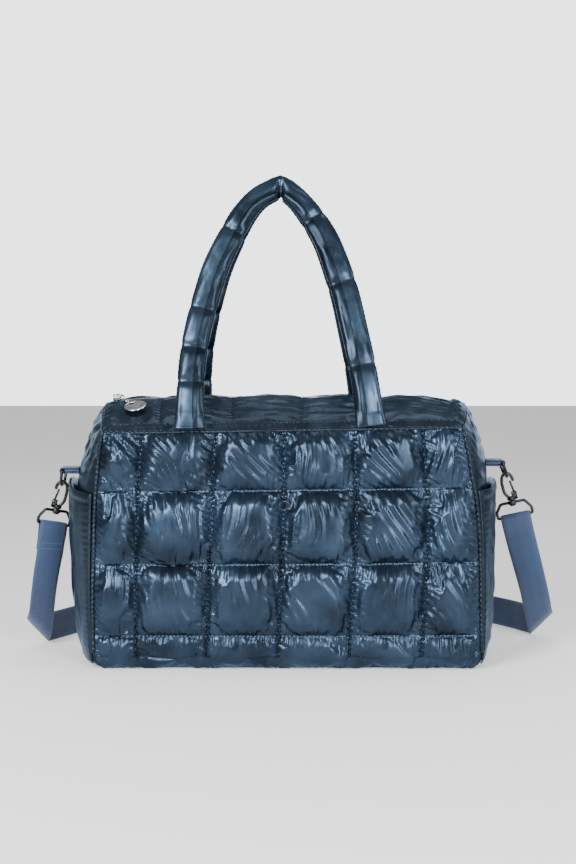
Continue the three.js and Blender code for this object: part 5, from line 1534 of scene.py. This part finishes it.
def strap_pieces():
    ends = {name: StrapEnd(name) for name in SIDES}
    left, right = ends["left"].stations(), ends["right"].stations()
    curve = floor_curve(ends)
    total = resampled(curve, [0])[1]
    buckle = SLIDER_SHARE * total
    lift_most = SLIDER_RAIL + GAP
    near = [row[0] * SLIDER_PITCH for row in FAR_ROWS + NEAR_ROWS]
    wide = [(i + 1) / 131 * total - buckle for i in range(130)]
    places = sorted(set([p for p in wide if abs(p) > 3 * SLIDER_PITCH] + near
                        + [float(p) for p in np.linspace(-38, 38, 39)]))
    centers = resampled(curve, [(buckle + p) / total for p in places])[0]
    tangents = unit(resampled(curve, [(buckle + p + 0.5) / total for p in places])[0]
                    - resampled(curve, [(buckle + p - 0.5) / total for p in places])[0])
    bag_side = []
    for place, center, ahead in zip(places, centers, tangents):
        lift = lift_most * (1 - float(smoothstep(abs(place), 1.4 * SLIDER_PITCH, 5 * SLIDER_PITCH)))
        middle = center + [0, 0, lift]
        normal = unit([ahead[1], -ahead[0], 0])
        bag_side.append((buckle + place, lambda b, m=middle, n=normal: (m + np.array([0, 0, b]), n)))
    rings = [strap_ring(edge, layer_offset(at, CLOSE_OFFSET)) for at, edge in left[::-1] if at <= SEWN_BACK]
    rings += bar_turn(ends["left"])[::-1]
    for at, edge in left:
        sewn = lerp(-CLOSE_OFFSET, 0, float(smoothstep(at, SEWN_BACK, SEWN_BACK + LAYER_EASE[1])))
        rings.append(strap_ring(edge, sewn if at > SEWN_BACK else -layer_offset(at, CLOSE_OFFSET), -1))
    for at, edge in bag_side:
        double = -CLOSE_OFFSET * float(smoothstep(buckle - at, 7 * SLIDER_PITCH, 2.3 * SLIDER_PITCH))
        rings.append(strap_ring(edge, row_offset(FAR_ROWS, at - buckle, double), -1))
    rings += [strap_ring(edge, -layer_offset(at, CLOSE_OFFSET), -1) for at, edge in right[::-1]]
    rings += bar_turn(ends["right"])
    rings += [strap_ring(edge, layer_offset(at, CLOSE_OFFSET)) for at, edge in right]
    rings += [strap_ring(edge, row_offset(NEAR_ROWS, at - buckle, CLOSE_OFFSET))
              for at, edge in bag_side[::-1] if at >= buckle - 1e-6]
    grid = np.array(rings)
    steps = np.linalg.norm(np.diff(grid[:, len(ACROSS) // 2], axis=0), axis=1)
    plan = strip_plan(np.concatenate([[0], np.cumsum(steps)]), np.concatenate([ACROSS, ACROSS[::-1]]))
    piece = new_object("strap_webbing", grid.reshape(-1, 3), tube_faces(*grid.shape[:2]), plan)
    dress(piece, webbing, replaces=["shoulder_strap"])
    # Stitching that holds the folded end at the left
    end = ends["left"]
    lines = []
    for back in (SEWN_BACK - 3, SEWN_BACK - 9):
        lines.append([end.hang(end.length - back, b) for b in np.linspace(-14, 14, 15)])
    spots, normals = [], []
    for line in lines:
        points = np.array([p + n * (CLOSE_OFFSET + STRAP_THICK / 2) for p, n in line])
        back_points = np.array([p - n * (CLOSE_OFFSET + STRAP_THICK / 2) for p, n in line])
        for run, sign in ((points, 1), (back_points, -1)):
            for spot in along_lines([run], STRAP_STITCH_PITCH, draw):
                spots.append(spot)
                normals.append(line[7][1] * sign)
    dress(beads("strap_stitches", spots, normals, STRAP_STITCH_SIZE), thread)
    center = resampled(curve, [SLIDER_SHARE])[0][0] + [0, 0, lift_most]
    before, after = resampled(curve, [SLIDER_SHARE - 0.001, SLIDER_SHARE + 0.001])[0]
    return center, unit(after - before)


def strap_slider_piece(center, ahead):
    side = np.array([-ahead[1], ahead[0], 0])
    axes = (ahead, side, np.array([0, 0, 1.0]))
    slot = STRAP_WIDTH + 2 * GAP
    length = 2 * SLIDER_PITCH + 3
    tall = slot + 2 * SLIDER_RAIL
    bar = (length - 2 * (SLIDER_PITCH - 3)) / 3
    parts = Parts()
    for sign in (-1, 1):
        rail = center + axes[2] * sign * (slot + SLIDER_RAIL) / 2
        parts.box(rail, (length, SLIDER_BAR, SLIDER_RAIL), axes, 0.5)
        parts.box(center + ahead * sign * (length - bar) / 2, (bar, SLIDER_BAR, tall), axes, 0.5)
    parts.box(center, (bar, SLIDER_BAR, tall), axes, 0.5)
    dress(parts.object("slider_frame"), black, replaces=["strap_slider"])


strap_slider_piece(*strap_pieces())


# Floor, light and camera

def stage():
    mesh = bpy.data.meshes.new("floor")
    reach = 6.0
    mesh.from_pydata([(-reach, -reach, 0), (reach, -reach, 0), (reach, reach, 0), (-reach, reach, 0)], [],
                     [(0, 1, 2, 3)])
    floor = bpy.data.objects.new("floor", mesh)
    bpy.context.scene.collection.objects.link(floor)
    shader = Shader("floor")
    shader.set(Base_Color=(0.86, 0.86, 0.86, 1), Roughness=0.75)
    shader.set(Emission_Color=(1, 1, 1, 1), Emission_Strength=0.34)
    mesh.materials.append(shader.material)
    world = bpy.context.scene.world or bpy.data.worlds.new("World")
    bpy.context.scene.world = world
    world.use_nodes = True
    tree = world.node_tree
    background = tree.nodes["Background"]
    toward = tree.nodes.new("ShaderNodeTexCoord").outputs["Generated"]
    split = tree.nodes.new("ShaderNodeSeparateXYZ")
    tree.links.new(toward, split.inputs[0])

    def ramp(source, first, last, low, high):
        node = tree.nodes.new("ShaderNodeMapRange")
        node.interpolation_type = "SMOOTHSTEP"
        tree.links.new(source, node.inputs["Value"])
        for key, value in (("From Min", first), ("From Max", last), ("To Min", low), ("To Max", high)):
            node.inputs[key].default_value = value
        return node.outputs[0]

    # Bright low behind the bag, and dimmer toward the camera than to the sides
    both = tree.nodes.new("ShaderNodeMath")
    both.operation = "MULTIPLY_ADD"
    tree.links.new(ramp(split.outputs[1], 0.7, 0.94, 0.0, 2.8), both.inputs[0])
    tree.links.new(ramp(split.outputs[2], 0.22, 0.5, 1.0, 0.0), both.inputs[1])
    tree.links.new(ramp(split.outputs[1], -0.8, -0.2, 0.13, 0.34), both.inputs[2])
    tree.links.new(both.outputs[0], background.inputs[1])
    background.inputs[0].default_value = (0.95, 0.97, 1.0, 1)


def area(name, place, target, size, energy):
    light = bpy.data.lights.new(name, "AREA")
    light.shape = "RECTANGLE"
    light.size, light.size_y = size
    light.energy = energy
    obj = bpy.data.objects.new(name, light)
    obj.location = place
    obj.rotation_euler = (Vector(target) - Vector(place)).to_track_quat("-Z", "Y").to_euler()
    bpy.context.scene.collection.objects.link(obj)


def camera():
    data = bpy.data.cameras.new("camera")
    data.lens = 58.33
    data.sensor_width = 36
    data.sensor_fit = "AUTO"
    data.clip_end = 50
    obj = bpy.data.objects.new("camera", data)
    obj.location = (0.0055, -1.490, 0.330)
    target = Vector((0.0005, -0.090, 0.242))
    obj.rotation_euler = (target - obj.location).to_track_quat("-Z", "Y").to_euler()
    bpy.context.scene.collection.objects.link(obj)
    bpy.context.scene.camera = obj


stage()
area("key", (-1.0, -1.6, 1.0), (0, 0, 0.15), (0.75, 0.9), 62)
area("front", (0.8, -1.8, 0.75), (0, 0, 0.2), (0.55, 1.1), 38)
area("top", (0.1, 0.3, 1.8), (0, 0, 0.2), (1.2, 0.8), 9)
area("side", (1.6, -0.3, 0.7), (0, 0, 0.2), (0.5, 0.9), 10)
camera()
